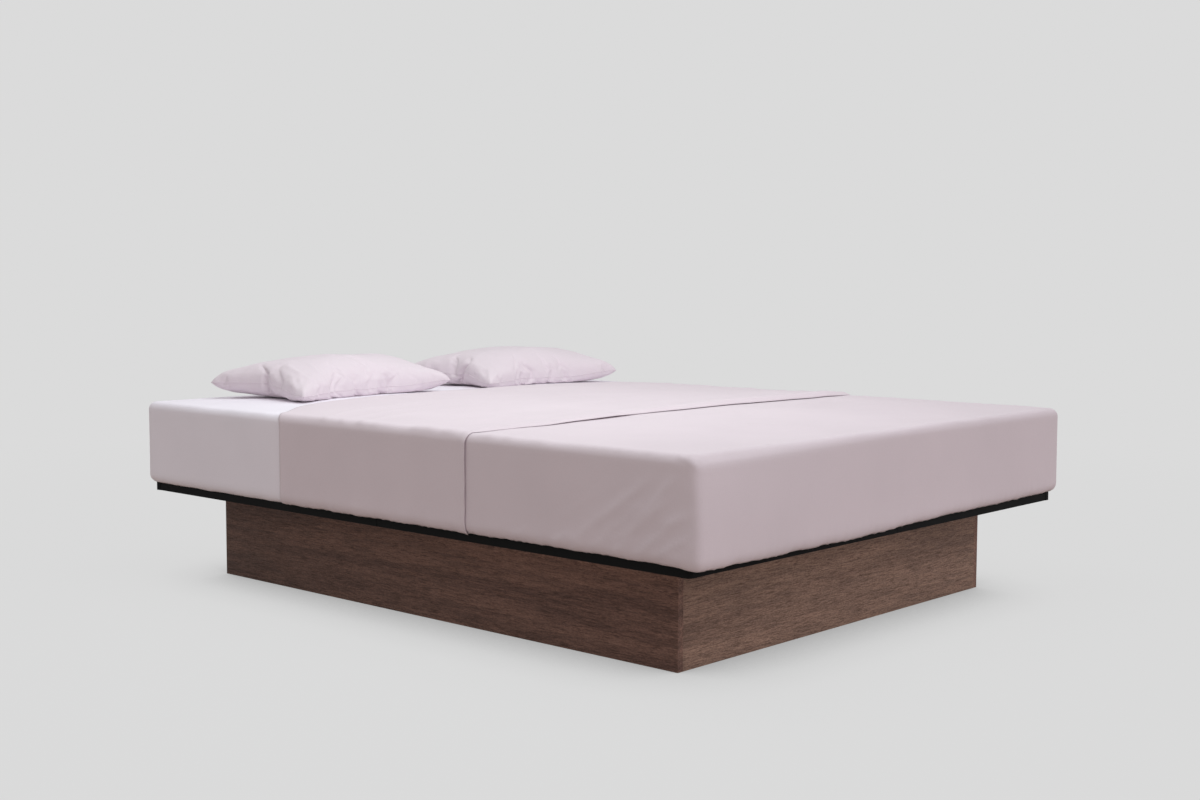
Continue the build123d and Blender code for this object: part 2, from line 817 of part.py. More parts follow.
def pillow_rest(name):
    """The height of the sheet's highest place under a pillow's flat."""
    middle_x, middle_y = pillow_middle(name)
    turn = radians(pillow_places[name]["turn"])
    half_width = pillow_width / 2 - pillow_underside_reach
    half_depth = pillow_depth / 2 - pillow_underside_reach + pillow_top_bow
    heights = []
    for share in (-1, -0.5, 0, 0.5, 1):
        along, across = share * half_width, -half_depth
        x = middle_x + along * cos(turn) - across * sin(turn)
        y = middle_y + along * sin(turn) + across * cos(turn)
        heights.append(crown_height(x, y, fitted_sheet_inset))
    return max(heights)


def pillow_place(name):
    """Where a pillow's seam lies, so that its underside clears the sheet beneath it."""
    seam = pillow_rest(name) + soft_clearance + pillow_underside
    return Pos(*pillow_middle(name), seam) * Rot(0, 0, pillow_places[name]["turn"])


def pillow_case(name):
    return pillow_place(name) * (pillow_form(0) - pillow_form(pillow_cloth))


def pillow_filling(name):
    return pillow_place(name) * pillow_form(pillow_cloth + soft_clearance)


# The whole bed, by node


def pedestal_nodes():
    nodes = {"pedestal_long_support": long_support()}
    for name, y in cross_supports.items():
        nodes["pedestal_cross_support_" + name] = cross_support(y)
    for name, x_sign in sides.items():
        nodes["pedestal_side_panel_" + name] = side_panel(x_sign)
    for name, y_sign in ends.items():
        nodes["pedestal_" + name + "_panel"] = end_panel(y_sign)
    for end, y_sign in ends.items():
        for side, x_sign in sides.items():
            nodes["corner_block_" + end + "_" + side] = corner_block(x_sign, y_sign)
    nodes["corner_block_screws"] = screw_group(all_screws(block_screw_places))
    return nodes


def deck_nodes():
    nodes = {"deck_screws": screw_group(all_screws(deck_screws_of))}
    for end, y_sign in ends.items():
        for side, x_sign in sides.items():
            place = end + "_" + side
            nodes["deck_board_" + place] = deck_board(x_sign, y_sign)
            nodes["corner_cap_" + place] = corner_cap(x_sign, y_sign)
            nodes["edging_long_" + place] = edging(
                deck_length / 2, deck_width / 2, False, x_sign, y_sign
            )
            nodes["edging_end_" + place] = edging(
                deck_width / 2, deck_length / 2, True, y_sign, x_sign
            )
    return nodes


def mattress_nodes():
    nodes = {
        "base_cover": base_cover(),
        "top_cover": top_cover(),
        "zip_lower": zip_half(-1),
        "zip_upper": zip_half(1),
        "zip_slider": zip_slider(),
        "base_pad": base_pad(),
        "safety_liner": safety_liner(),
        "foam_divider": foam_divider(),
        "valve_bodies": both_valves(valve_body()),
        "valve_plugs": both_valves(valve_plug()),
    }
    nodes.update(foam_rails())
    for name, x_sign in sides.items():
        nodes["heater_pad_" + name] = heater_pad(x_sign)
        nodes["water_core_" + name] = water_core(x_sign)
        nodes["fibre_insert_" + name] = fibre_insert(x_sign)
        nodes["valve_cap_" + name] = at_valve(valve_cap(), x_sign)
    return nodes


def bedding_nodes():
    nodes = {"fitted_sheet": fitted_sheet(), "top_sheet": top_sheet()}
    for name in pillow_places:
        nodes["pillow_case_" + name] = pillow_case(name)
        nodes["pillow_filling_" + name] = pillow_filling(name)
    return nodes


os.makedirs("parts", exist_ok=True)
bed = {**pedestal_nodes(), **deck_nodes(), **mattress_nodes(), **bedding_nodes()}
for node, shape in bed.items():
    export_step(shape, "parts/" + node + ".step")
print(len(bed), "nodes")
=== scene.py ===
import json
import math

import bmesh
import bpy
import numpy as np
from mathutils import Matrix, Vector, noise


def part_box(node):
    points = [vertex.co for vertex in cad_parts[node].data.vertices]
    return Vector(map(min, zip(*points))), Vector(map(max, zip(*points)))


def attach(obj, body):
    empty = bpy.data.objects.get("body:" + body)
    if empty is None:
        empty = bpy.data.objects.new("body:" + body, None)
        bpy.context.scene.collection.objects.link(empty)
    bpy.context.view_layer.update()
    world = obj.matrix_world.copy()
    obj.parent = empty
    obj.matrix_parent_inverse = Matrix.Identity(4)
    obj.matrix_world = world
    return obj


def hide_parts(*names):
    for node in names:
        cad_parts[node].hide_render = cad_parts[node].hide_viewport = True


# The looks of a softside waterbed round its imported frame. Metres, +Z up, the head towards +Y.

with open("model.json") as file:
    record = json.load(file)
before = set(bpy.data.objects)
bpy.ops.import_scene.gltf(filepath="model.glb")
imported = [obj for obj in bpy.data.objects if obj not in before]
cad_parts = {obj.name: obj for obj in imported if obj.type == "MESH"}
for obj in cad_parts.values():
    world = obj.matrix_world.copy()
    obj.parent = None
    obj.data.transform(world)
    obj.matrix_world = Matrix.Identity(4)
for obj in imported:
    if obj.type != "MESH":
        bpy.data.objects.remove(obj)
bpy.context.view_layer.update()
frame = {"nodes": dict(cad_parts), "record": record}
nodes = frame["nodes"]
BED = "bed"

# The mattress outside its linen: half its plan, its top's edge and underside, and its edges' radii
HALF_X, HALF_Y = 0.818, 1.018
SHOULDER, FOOT_LEVEL = 0.505, 0.2667
TOP_RADIUS, UPRIGHT_RADIUS, FOOT_RADIUS = 0.021, 0.045, 0.027
CORE_X, CORE_Y = HALF_X - UPRIGHT_RADIUS, HALF_Y - UPRIGHT_RADIUS
CROWN, CROWN_REACH = 0.009, 0.603

# From one layer of linen to the next, the cloth's own thickness, and the cover under the linen
LINEN_STEP, CLOTH, COVER_STEP = 0.0011, 0.0008, 0.0033
# Heights of the cover's opening for the zip, and of the linen's lower edge
ZIP_CHANNEL = (0.322, 0.3385)
HEM = 0.272
# The linen's mesh: its edge length, and the steps round each rounded edge
GRID = 0.008
CORNER_STEPS, TOP_STEPS, FOOT_STEPS = 12, 6, 4

# The top sheet's turned-back flap: its free edge and its crease as lines over the bed, y for each x
CREASE_Y = 0.371
FREE_EDGE = ((-0.83, -0.345), (-0.8, -0.35), (-0.715, -0.362), (-0.62, -0.396), (-0.5, -0.39),
             (-0.23, -0.384), (-0.015, -0.368), (0.16, -0.36), (0.357, -0.386), (0.545, -0.369),
             (0.783, -0.33), (0.83, -0.33))
EDGE_Y = FREE_EDGE[0][1]
CREASE = ((-0.83, 0.371), (-0.79, 0.385), (-0.735, 0.43), (-0.66, 0.49), (-0.6, 0.52), (-0.5, 0.545),
          (0.0, 0.56), (0.5, 0.56), (0.68, 0.54), (0.76, 0.46), (0.8, 0.39), (0.83, 0.371))
# Height of the hem along the foot side, z for each x
FOOT_HEM = ((-0.82, 0.267), (-0.635, 0.266), (-0.414, 0.264), (-0.17, 0.261), (0.0, 0.265),
            (0.1, 0.267), (0.3, 0.271), (0.507, 0.272), (0.82, 0.276))

# Small numeric helpers: how far each seed moves the noise, and how finely a line is smoothed
SEED_STEPS = np.array((7.31, 3.17, 5.93))
CURVE_POINTS, CURVE_WINDOW = 201, 19


def smooth(value, low, high):
    """0 below low, 1 above high, and a smooth rise between them."""
    t = np.clip((np.asarray(value, float) - low) / (high - low), 0, 1)
    return t * t * (3 - 2 * t)


def bump(value, middle, width):
    """A bell that is 1 at its middle."""
    return np.exp(-(((np.asarray(value, float) - middle) / width) ** 2))


def ripple(points, sizes, seed):
    """Smooth noise from -1 to 1 with a wavelength along each axis."""
    places = points * (1.0 / np.asarray(sizes, float)) + seed * SEED_STEPS
    return np.array([noise.noise(Vector(p)) for p in places])


def ridges(points, sizes, seed, sharpness):
    """Crests from 0 to 1 where the noise changes sign, as folds in cloth, narrower when sharp."""
    crest = 1 - np.abs(ripple(points, sizes, seed)) * 2.2
    return np.clip((crest - sharpness) / (1 - sharpness), 0, 1) ** 1.5


def ridged(mask, points, sizes, seed, sharpness):
    """Ridges times a mask, worked out only where the mask lets them show."""
    lift = np.zeros(len(points))
    shown = mask > 1e-4
    if shown.any():
        lift[shown] = mask[shown] * ridges(points[shown], sizes, seed, sharpness)
    return lift


def curve_through(pairs, x):
    """A smoothed line through a few pairs."""
    xs, ys = np.array(pairs).T
    fine = np.linspace(xs[0], xs[-1], CURVE_POINTS)
    window = np.hanning(CURVE_WINDOW)
    padded = np.pad(np.interp(fine, xs, ys), CURVE_WINDOW // 2, mode="edge")
    return np.interp(x, fine, np.convolve(padded, window / window.sum(), "valid"))


def folds(a, b, lines):
    """The lift of a few long folds, each given by its ends, height and width in the plane (a, b)."""
    lift = np.zeros(len(a))
    for (a0, b0), (a1, b1), height, width in lines:
        length = math.hypot(a1 - a0, b1 - b0)
        ua, ub = (a1 - a0) / length, (b1 - b0) / length
        s, t = (a - a0) * ua + (b - b0) * ub, (b - b0) * ua - (a - a0) * ub
        t = t + 0.004 * np.sin(s / length * 5)
        fade = smooth(s, 0, 0.3 * length) * (1 - smooth(s, 0.7 * length, length))
        lift += height * fade * (bump(t, 0, width) + 0.25 * bump(t, -2.2 * width, width))
    return lift


# Mesh helpers


def new_object(name, data):
    obj = bpy.data.objects.new(name, data)
    bpy.context.scene.collection.objects.link(obj)
    return obj


def from_bmesh(name, bm):
    """A smooth-shaded object of a bmesh, which is used up."""
    mesh = bpy.data.meshes.new(name)
    bm.to_mesh(mesh)
    bm.free()
    mesh.shade_smooth()
    return new_object(name, mesh)


def read_vectors(items, key):
    """One row of three numbers for each vertex."""
    rows = np.zeros(len(items) * 3, np.float32)
    items.foreach_get(key, rows)
    return rows.reshape(-1, 3).astype(float)


def coordinates(mesh):
    return read_vectors(mesh.vertices, "co")


def normals(mesh):
    return read_vectors(mesh.vertex_normals, "vector")


def put(mesh, co):
    """Moves a mesh's vertices to the given rows."""
    mesh.vertices.foreach_set("co", co.astype(np.float32).ravel())
    mesh.update()


def applied(obj):
    """The object with its modifiers made part of its mesh."""
    evaluated = obj.evaluated_get(bpy.context.evaluated_depsgraph_get())
    mesh = bpy.data.meshes.new_from_object(evaluated)
    obj.modifiers.clear()
    old = obj.data
    obj.data = mesh
    bpy.data.meshes.remove(old)
    mesh.shade_smooth()
    return obj


def finish_piece(obj, body, material, slot, *replaced):
    """Gives a piece its material and its body, and hides the CAD nodes that it stands for. Its slot is not
    used.
    """
    obj.data.materials.clear()
    obj.data.materials.append(material)
    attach(obj, body)
    if replaced:
        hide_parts(*replaced)
    return obj


# Shader helpers

GREY, WHITE, BLACK = (0.6, 0.6, 0.6), (1, 1, 1), (0, 0, 0)
THREADS = 1500.0 / 6.283


def set_stops(ramp, stops):
    """Puts a colour ramp's stops in place, each a position and a colour."""
    while len(ramp.elements) < len(stops):
        ramp.elements.new(0.5)
    for element, (position, colour) in zip(ramp.elements, stops):
        element.position = position
        element.color = (*colour, 1)


class Shader:
    """A node material built call by call: each call adds a node and returns its output socket."""

    def __init__(self, name):
        self.material = bpy.data.materials.new(name)
        self.material.use_nodes = True
        self.tree = self.material.node_tree
        self.tree.nodes.clear()
        self.out = self.tree.nodes.new("ShaderNodeOutputMaterial")
        self.bsdf = self.tree.nodes.new("ShaderNodeBsdfPrincipled")
        self.link(self.bsdf.outputs[0], self.out.inputs[0])
        self.where = self.tree.nodes.new("ShaderNodeTexCoord").outputs["Object"]

    def link(self, a, b):
        self.tree.links.new(a, b)

    def node(self, kind, **values):
        made = self.tree.nodes.new(kind)
        for key, value in values.items():
            setattr(made, key, value)
        return made

    def place(self, scale):
        made = self.node("ShaderNodeMapping")
        made.inputs["Scale"].default_value = scale
        self.link(self.where, made.inputs["Vector"])
        return made.outputs[0]

    def noise(self, scale, detail=4.0, rough=0.55, distortion=0.0, source=None):
        made = self.node("ShaderNodeTexNoise")
        made.inputs["Scale"].default_value = scale
        made.inputs["Detail"].default_value = detail
        made.inputs["Roughness"].default_value = rough
        made.inputs["Distortion"].default_value = distortion
        self.link(source or self.where, made.inputs["Vector"])
        return made.outputs["Fac"]

    def wave(self, scale, direction, source=None):
        made = self.node("ShaderNodeTexWave", wave_type="BANDS", bands_direction=direction)
        made.inputs["Scale"].default_value = scale
        self.link(source or self.where, made.inputs["Vector"])
        return made.outputs["Fac"]

    def ramp(self, source, *stops):
        made = self.node("ShaderNodeValToRGB")
        set_stops(made.color_ramp, stops)
        self.link(source, made.inputs[0])
        return made.outputs[0]

    def grade(self, source, *ends):
        """The source from ends[0] to ends[1] spread from 0 to 1, or from ends[2] to ends[3]."""
        made = self.node("ShaderNodeMapRange")
        for socket, value in zip(list(made.inputs)[1:], ends):
            socket.default_value = value
        self.link(source, made.inputs[0])
        return made.outputs[0]

    def math(self, operation, a, b):
        made = self.node("ShaderNodeMath", operation=operation)
        for socket, value in zip(made.inputs, (a, b)):
            if isinstance(value, (int, float)):
                socket.default_value = value
            else:
                self.link(value, socket)
        return made.outputs[0]

    def mix(self, share, a, b, kind="MIX"):
        made = self.node("ShaderNodeMix", data_type="RGBA", blend_type=kind)
        for socket, value in zip((made.inputs[0], made.inputs[6], made.inputs[7]), (share, a, b)):
            if isinstance(value, (int, float)):
                socket.default_value = value
            elif isinstance(value, tuple):
                socket.default_value = (*value, 1)
            else:
                self.link(value, socket)
        return made.outputs[2]

    def axis(self, name):
        made = self.node("ShaderNodeSeparateXYZ")
        self.link(self.where, made.inputs[0])
        return made.outputs[name]

    def bump(self, height, distance, strength=1.0, after=None):
        made = self.node("ShaderNodeBump")
        made.inputs["Strength"].default_value = strength
        made.inputs["Distance"].default_value = distance
        self.link(height, made.inputs["Height"])
        if after is not None:
            self.link(after, made.inputs["Normal"])
        return made.outputs[0]

    def surface(self, colour, rough, normal=None, **fixed):
        """Sets the shader's colour, roughness and bump, and its uniform values on their sockets."""
        for socket, value in (("Base Color", colour), ("Roughness", rough)):
            if isinstance(value, tuple):
                self.bsdf.inputs[socket].default_value = (*value, 1)
            elif isinstance(value, (int, float)):
                self.bsdf.inputs[socket].default_value = value
            else:
                self.link(value, self.bsdf.inputs[socket])
        if normal is not None:
            self.link(normal, self.bsdf.inputs["Normal"])
        for key, value in fixed.items():
            self.bsdf.inputs[key.replace("_", " ")].default_value = value
        return self.material


def dimmed(colour, share):
    """The colour times a share."""
    return tuple(c * share for c in colour)


def cotton(name, colour):
    """Plain-woven cotton: fine threads both ways, slubs and a soft sheen."""
    s = Shader(name)
    cloudy = s.noise(3.0, 3.0)
    fibres = s.noise(420.0, 2.0)
    tone = s.ramp(cloudy, (0.3, dimmed(colour, 0.95)), (0.7, colour))
    tone = s.mix(0.1, tone, s.ramp(fibres, (0.3, GREY), (0.7, WHITE)), "MULTIPLY")
    across, along, up = (s.wave(THREADS, direction) for direction in "XYZ")
    threads = s.math("ADD", s.math("MULTIPLY", across, up), along)
    normal = s.bump(threads, 0.00008, 0.35)
    normal = s.bump(s.noise(55.0, 4.0, 0.6), 0.0006, 0.35, normal)
    rough = s.grade(fibres, 0.3, 0.7, 0.82, 0.94)
    return s.surface(tone, rough, normal, Sheen_Weight=0.12, Sheen_Roughness=0.5)


def oak(name, grain, light, dark, pebble, figured_and_painted_light):
    """Smoked oak: long dark pores, a pebbled brushed face and, where figured, wavy pale streaks plus
    painted light and shade, lighter towards the foot end and darker towards the head end.
    """
    s = Shader(name)
    along = {"X": 0, "Y": 1}[grain]

    def stretched(fine, coarse):
        scale = [fine, fine, fine]
        scale[along] = coarse
        return s.place(tuple(scale))

    bands = s.noise(1.0, 4.0, 0.55, 0.5, stretched(13, 0.7))
    streaks = s.noise(1.0, 6.0, 0.68, 0.7, stretched(95, 6.5))
    pores = s.noise(1.0, 4.0, 0.7, 0.2, stretched(420, 26))
    grains = s.noise(1.0, 3.0, 0.7, 0.0, stretched(330, 120))
    tone = s.ramp(bands, (0.3, dark), (0.7, light))
    for share, source, low, high in (
        (0.6, streaks, (0.36, (0.5, 0.48, 0.47)), (0.64, (1.3, 1.27, 1.22))),
        (0.75, pores, (0.36, (0.35, 0.32, 0.3)), (0.52, (1.08, 1.08, 1.08))),
        (0.55, grains, (0.4, (0.6, 0.58, 0.56)), (0.62, (1.3, 1.3, 1.3))),
    ):
        tone = s.mix(share, tone, s.ramp(source, low, high), "MULTIPLY")
    height = s.math("ADD", s.math("MULTIPLY", pores, 0.5), s.math("MULTIPLY", grains, 0.8))
    if figured_and_painted_light:
        waves = s.noise(1.0, 3.0, 0.6, 1.8, stretched(70, 9))
        crest = s.ramp(waves, (0.47, BLACK), (0.5, WHITE), (0.53, BLACK))
        where = s.math("MULTIPLY", s.grade(s.axis("Z"), 0.13, 0.21), s.grade(s.axis("Y"), 0.45, -0.2))
        share = s.math("MULTIPLY", s.math("MULTIPLY", crest, where), 0.7)
        tone = s.mix(share, tone, tuple(min(1.0, 1.6 * v) for v in light))
        height = s.math("ADD", height, s.math("MULTIPLY", crest, 0.5))
        # Painted light and shade: the tone is raised towards the foot end and lowered towards the head
        # end, from 1.35 to 0.72 times.
        tone = s.mix(1.0, tone, s.grade(s.axis("Y"), 0.8, -0.8, 0.72, 1.35), "MULTIPLY")
    normal = s.bump(height, 0.0009 * pebble, 0.8)
    rough = s.grade(pores, 0.3, 0.7, 0.75, 0.55)
    return s.surface(tone, rough, normal, Specular_IOR_Level=0.25)


def panel_board(name, light, dark, upright_grain=False):
    """Board pressed from chips, or plain soft timber with its grain along Z."""
    s = Shader(name)
    if upright_grain:
        stretch = (26, 26, 1.2)
        base = s.noise(1.3, 5.0, 0.6, 0.5, s.place(stretch))
        fine = s.noise(1.0, 3.0, 0.6, 0.0, s.place(dimmed(stretch, 8)))
    else:
        base = s.noise(160.0, 4.0, 0.7)
        fine = s.noise(700.0, 2.0)
    tone = s.ramp(base, (0.34, dark), (0.66, light))
    tone = s.mix(0.3, tone, s.ramp(fine, (0.3, GREY), (0.7, WHITE)), "MULTIPLY")
    return s.surface(tone, s.grade(base, 0.3, 0.7, 0.8, 0.6), s.bump(fine, 0.0003, 0.5))


def moulded(name, colour, rough=(0.42, 0.6), worn=1.35, shine=0.5):
    """Moulded or extruded plastic with a fine grain and a faint cloudy wear."""
    s = Shader(name)
    cloudy = s.noise(9.0, 4.0)
    tone = s.ramp(cloudy, (0.35, colour), (0.75, dimmed(colour, worn)))
    normal = s.bump(s.noise(900.0, 2.0), 0.00012, 0.5)
    return s.surface(tone, s.grade(cloudy, 0.3, 0.7, *rough), normal, Specular_IOR_Level=shine)


def metal(name, colour):
    """Plated metal, brushed along Z."""
    s = Shader(name)
    lines = s.noise(1.0, 3.0, 0.6, 0.0, s.place((900, 900, 60)))
    tone = s.ramp(lines, (0.3, dimmed(colour, 0.8)), (0.7, colour))
    rough = s.grade(lines, 0.3, 0.7, 0.28, 0.45)
    return s.surface(tone, rough, s.bump(lines, 0.00005, 0.4), Metallic=1.0)


def foam(name, colour):
    """Cut open-cell foam: small pits darkened as painted shade, and a slight yellowing."""
    s = Shader(name)
    cells = s.node("ShaderNodeTexVoronoi")
    cells.inputs["Scale"].default_value = 520.0
    s.link(s.where, cells.inputs["Vector"])
    pits = cells.outputs["Distance"]
    cloudy = s.noise(5.0, 4.0)
    tone = s.ramp(cloudy, (0.3, dimmed(colour, 0.9)), (0.7, colour))
    # Painted shade: the pits are darker in colour.
    tone = s.mix(0.35, tone, s.ramp(pits, (0.0, (0.55, 0.52, 0.45)), (0.4, WHITE)), "MULTIPLY")
    return s.surface(tone, 0.95, s.bump(pits, 0.0006, 0.8))


def vinyl(name, colour, creases):
    """Soft vinyl film with a satin face and shallow creases, darker in their hollows as painted shade."""
    s = Shader(name)
    fold = s.noise(7.0, 5.0, 0.6, 0.8)
    skin = s.noise(650.0, 2.0)
    # Painted shade: the tone is darker where the crease pattern is low.
    tone = s.ramp(fold, (0.3, dimmed(colour, 0.85)), (0.7, colour))
    normal = s.bump(skin, 0.00006, 0.5, s.bump(fold, creases, 0.5))
    rough = s.grade(fold, 0.3, 0.7, 0.28, 0.42)
    return s.surface(tone, rough, normal, Coat_Weight=0.2, Coat_Roughness=0.25)


def batting(name, colour):
    """Matted polyester fibre, darker between its strands as painted shade."""
    s = Shader(name)
    strands = s.noise(60.0, 8.0, 0.75, 2.0)
    # Painted shade: the tone is darker between the strands.
    tone = s.ramp(strands, (0.3, dimmed(colour, 0.8)), (0.6, colour))
    return s.surface(tone, 0.98, s.bump(strands, 0.003, 0.8), Sheen_Weight=0.3, Sheen_Roughness=0.6)


def knit(name, colour):
    """Double-knit cover cloth with rows of loops, darker between them as painted shade."""
    s = Shader(name)
    rows = s.math("MULTIPLY", s.wave(110.0, "DIAGONAL"), s.wave(110.0, "X"))
    cloudy = s.noise(6.0, 4.0)
    tone = s.ramp(cloudy, (0.3, dimmed(colour, 0.92)), (0.7, colour))
    # Painted shade: the tone is darker between the loops.
    tone = s.mix(0.25, tone, s.ramp(rows, (0.0, (0.7, 0.7, 0.7)), (0.6, WHITE)), "MULTIPLY")
    return s.surface(tone, 0.92, s.bump(rows, 0.0004, 0.6), Sheen_Weight=0.25, Sheen_Roughness=0.5)


def zip_band(name, colour):
    """Woven tape with the teeth of the chain showing as fine ribs across it, darker between them as
    painted shade.
    """
    s = Shader(name)
    around = s.math("ADD", s.axis("X"), s.axis("Y"))
    combine = s.node("ShaderNodeCombineXYZ")
    s.link(around, combine.inputs[0])
    teeth = s.wave(62.0, "X", source=combine.outputs[0])
    weave = s.noise(800.0, 2.0)
    # Painted shade: the tone is darker between the teeth.
    tone = s.ramp(teeth, (0.2, dimmed(colour, 0.6)), (0.6, colour))
    height = s.math("ADD", teeth, s.math("MULTIPLY", weave, 0.2))
    return s.surface(tone, 0.6, s.bump(height, 0.0006, 0.7))


LILAC = (0.78, 0.675, 0.725)
PILLOW_LILAC = (0.76, 0.665, 0.715)
PALE_LILAC = (0.93, 0.87, 0.945)

materials = {
    "deck_board": panel_board("deck_board", (0.05, 0.05, 0.052), (0.03, 0.03, 0.032)),
    "support_board": panel_board("support_board", (0.5, 0.37, 0.24), (0.34, 0.24, 0.15)),
    "corner_block_wood": panel_board("corner_block_wood", (0.62, 0.44, 0.27), (0.46, 0.3, 0.17), True),
    "edging": moulded("edging", (0.008, 0.008, 0.008), rough=(0.6, 0.75), shine=0.05),
    "screw_steel": metal("screw_steel", (0.62, 0.6, 0.55)),
    "cover_knit": knit("cover_knit", (0.76, 0.76, 0.74)),
    "cover_base_cloth": knit("cover_base_cloth", (0.07, 0.07, 0.08)),
    "zip_plastic": zip_band("zip_plastic", (0.6, 0.6, 0.58)),
    "zip_metal": metal("zip_metal", (0.55, 0.55, 0.56)),
    "foam": foam("foam", (0.72, 0.62, 0.36)),
    "liner_vinyl": vinyl("liner_vinyl", (0.22, 0.28, 0.36), 0.0016),
    "heater_vinyl": vinyl("heater_vinyl", (0.012, 0.012, 0.014), 0.0006),
    "water_vinyl": vinyl("water_vinyl", (0.08, 0.18, 0.36), 0.003),
    "fibre": batting("fibre", (0.82, 0.82, 0.82)),
    "valve_plastic": moulded("valve_plastic", (0.02, 0.06, 0.24), rough=(0.25, 0.4)),
    "plug_plastic": moulded("plug_plastic", (0.7, 0.7, 0.67), rough=(0.35, 0.5), worn=1.1),
    "cap_plastic": moulded("cap_plastic", (0.015, 0.015, 0.017), rough=(0.25, 0.4)),
    "pillow_fill": batting("pillow_fill", (0.86, 0.86, 0.85)),
    "sheet_cotton": cotton("sheet_cotton", LILAC),
    "fitted_cotton": cotton("fitted_cotton", PALE_LILAC),
    "pillow_cotton": cotton("pillow_cotton", PILLOW_LILAC),
}
# Painted light: the end oak is paler than the long oak, for the brighter light and sheen on the foot side.
long_oak = oak("smoked_oak_long", "Y", (0.25, 0.142, 0.11), (0.115, 0.062, 0.05), 1.0, True)
end_oak = oak("smoked_oak_end", "X", (0.37, 0.235, 0.18), (0.215, 0.13, 0.1), 1.8, False)

# Every CAD node gets its slot's material; the pedestal's panels alone have no entry above
for part in frame["record"]["subparts"]:
    name, slot = part["node"], part["material_slot"]
    material = materials.get(slot) or (long_oak if "side_panel" in name else end_oak)
    mesh = nodes[name].data
    mesh.materials.clear()
    mesh.materials.append(material)


# The mattress's skin


def profile(inset, hem, side_steps):
    """Pairs of reach out of the core rectangle and height, from the flat top down to the hem."""
    upright, top, foot = UPRIGHT_RADIUS - inset, TOP_RADIUS - inset, FOOT_RADIUS - inset
    shoulder, base = SHOULDER - inset, FOOT_LEVEL + inset
    rows = [(0.0, shoulder), ((upright - top) / 2, shoulder)]
    for step in range(TOP_STEPS + 1):
        angle = math.radians(90 * step / TOP_STEPS)
        rows.append((upright - top + top * math.sin(angle), shoulder - top + top * math.cos(angle)))
    high, low = shoulder - top, base + foot
    rows += [(upright, high + (low - high) * step / side_steps) for step in range(1, side_steps + 1)]
    last = math.asin(min(1.0, (low - hem) / foot))
    for step in range(1, FOOT_STEPS + 1):
        angle = last * step / FOOT_STEPS
        rows.append((upright - foot * (1 - math.cos(angle)), low - foot * math.sin(angle)))
    return rows


def skin(inset, spacing, closed=False):
    """A regular mesh over the mattress: a grid on top, and rows down its sides and corners."""
    nx, ny = round(2 * CORE_X / spacing), round(2 * CORE_Y / spacing)
    xs, ys = np.linspace(-CORE_X, CORE_X, nx + 1), np.linspace(-CORE_Y, CORE_Y, ny + 1)
    rows = profile(inset, FOOT_LEVEL + inset if closed else HEM, round(0.19 / spacing))
    if closed:
        rows.append((0.0, rows[-1][1]))
    bm = bmesh.new()
    for level in (rows[0][1], rows[-1][1]) if closed else (rows[0][1],):
        grid = [[bm.verts.new((x, y, level)) for x in xs] for y in ys]
        for low, high in zip(grid, grid[1:]):
            for i in range(nx):
                bm.faces.new((low[i], low[i + 1], high[i + 1], high[i]))
    lines = ([(x, -CORE_Y) for x in xs], [(CORE_X, y) for y in ys],
             [(x, CORE_Y) for x in xs[::-1]], [(-CORE_X, y) for y in ys[::-1]])
    columns = []
    for index, line in enumerate(lines):
        start = (index - 1) * math.pi / 2
        turns = [start + math.pi / 2 * step / CORNER_STEPS for step in range(1, CORNER_STEPS)]
        round_corner = [(*line[-1], turn) for turn in turns]
        for x, y, angle in [(x, y, start) for x, y in line] + round_corner:
            way = (math.cos(angle), math.sin(angle))
            columns.append([bm.verts.new((x + r * way[0], y + r * way[1], z)) for r, z in rows])
    for a, b in zip(columns, columns[1:] + columns[:1]):
        for k in range(len(rows) - 1):
            bm.faces.new((a[k], a[k + 1], b[k + 1], b[k]))
    bmesh.ops.remove_doubles(bm, verts=bm.verts, dist=1e-5)
    bmesh.ops.recalc_face_normals(bm, faces=bm.faces)
    return bm


def cut(bm, point, normal):
    """Takes away what lies on the side of the plane that the normal points to."""
    geometry = bm.verts[:] + bm.edges[:] + bm.faces[:]
    bmesh.ops.bisect_plane(bm, geom=geometry, plane_co=point, plane_no=normal, clear_outer=True, dist=1e-6)
    return bm


def faces_of(no):
    """Shares from 0 to 1 of how far each point belongs to the top and to the left side."""
    return smooth(no[:, 2], 0.5, 0.95), smooth(-no[:, 0], 0.5, 0.9)


def crowned(co):
    """How far the mattress's crown lifts each point."""
    from_side = np.minimum(HALF_X - abs(co[:, 0]), HALF_Y - abs(co[:, 1]))
    share = np.clip((from_side - UPRIGHT_RADIUS) / CROWN_REACH, 0, 1)
    return CROWN * (1 - (1 - share) ** 2)


SQUARENESS = 4.6


def squared(co):
    """Cloth drawn tight at an upright corner stands out from the foam's rounded one."""
    beyond = np.maximum(np.abs(co[:, :2]) - (CORE_X, CORE_Y), 0)
    reach = np.hypot(*beyond.T)
    unit = beyond / np.maximum(reach, 1e-9)[:, None]
    stretch = np.maximum((unit ** SQUARENESS).sum(1), 1e-9) ** (-1 / SQUARENESS) - 1
    inner = (reach > 1e-6) & (beyond.min(1) > 1e-6)
    moved = co.copy()
    moved[:, :2] += np.where(inner, stretch, 0)[:, None] * beyond * np.sign(co[:, :2])
    return moved


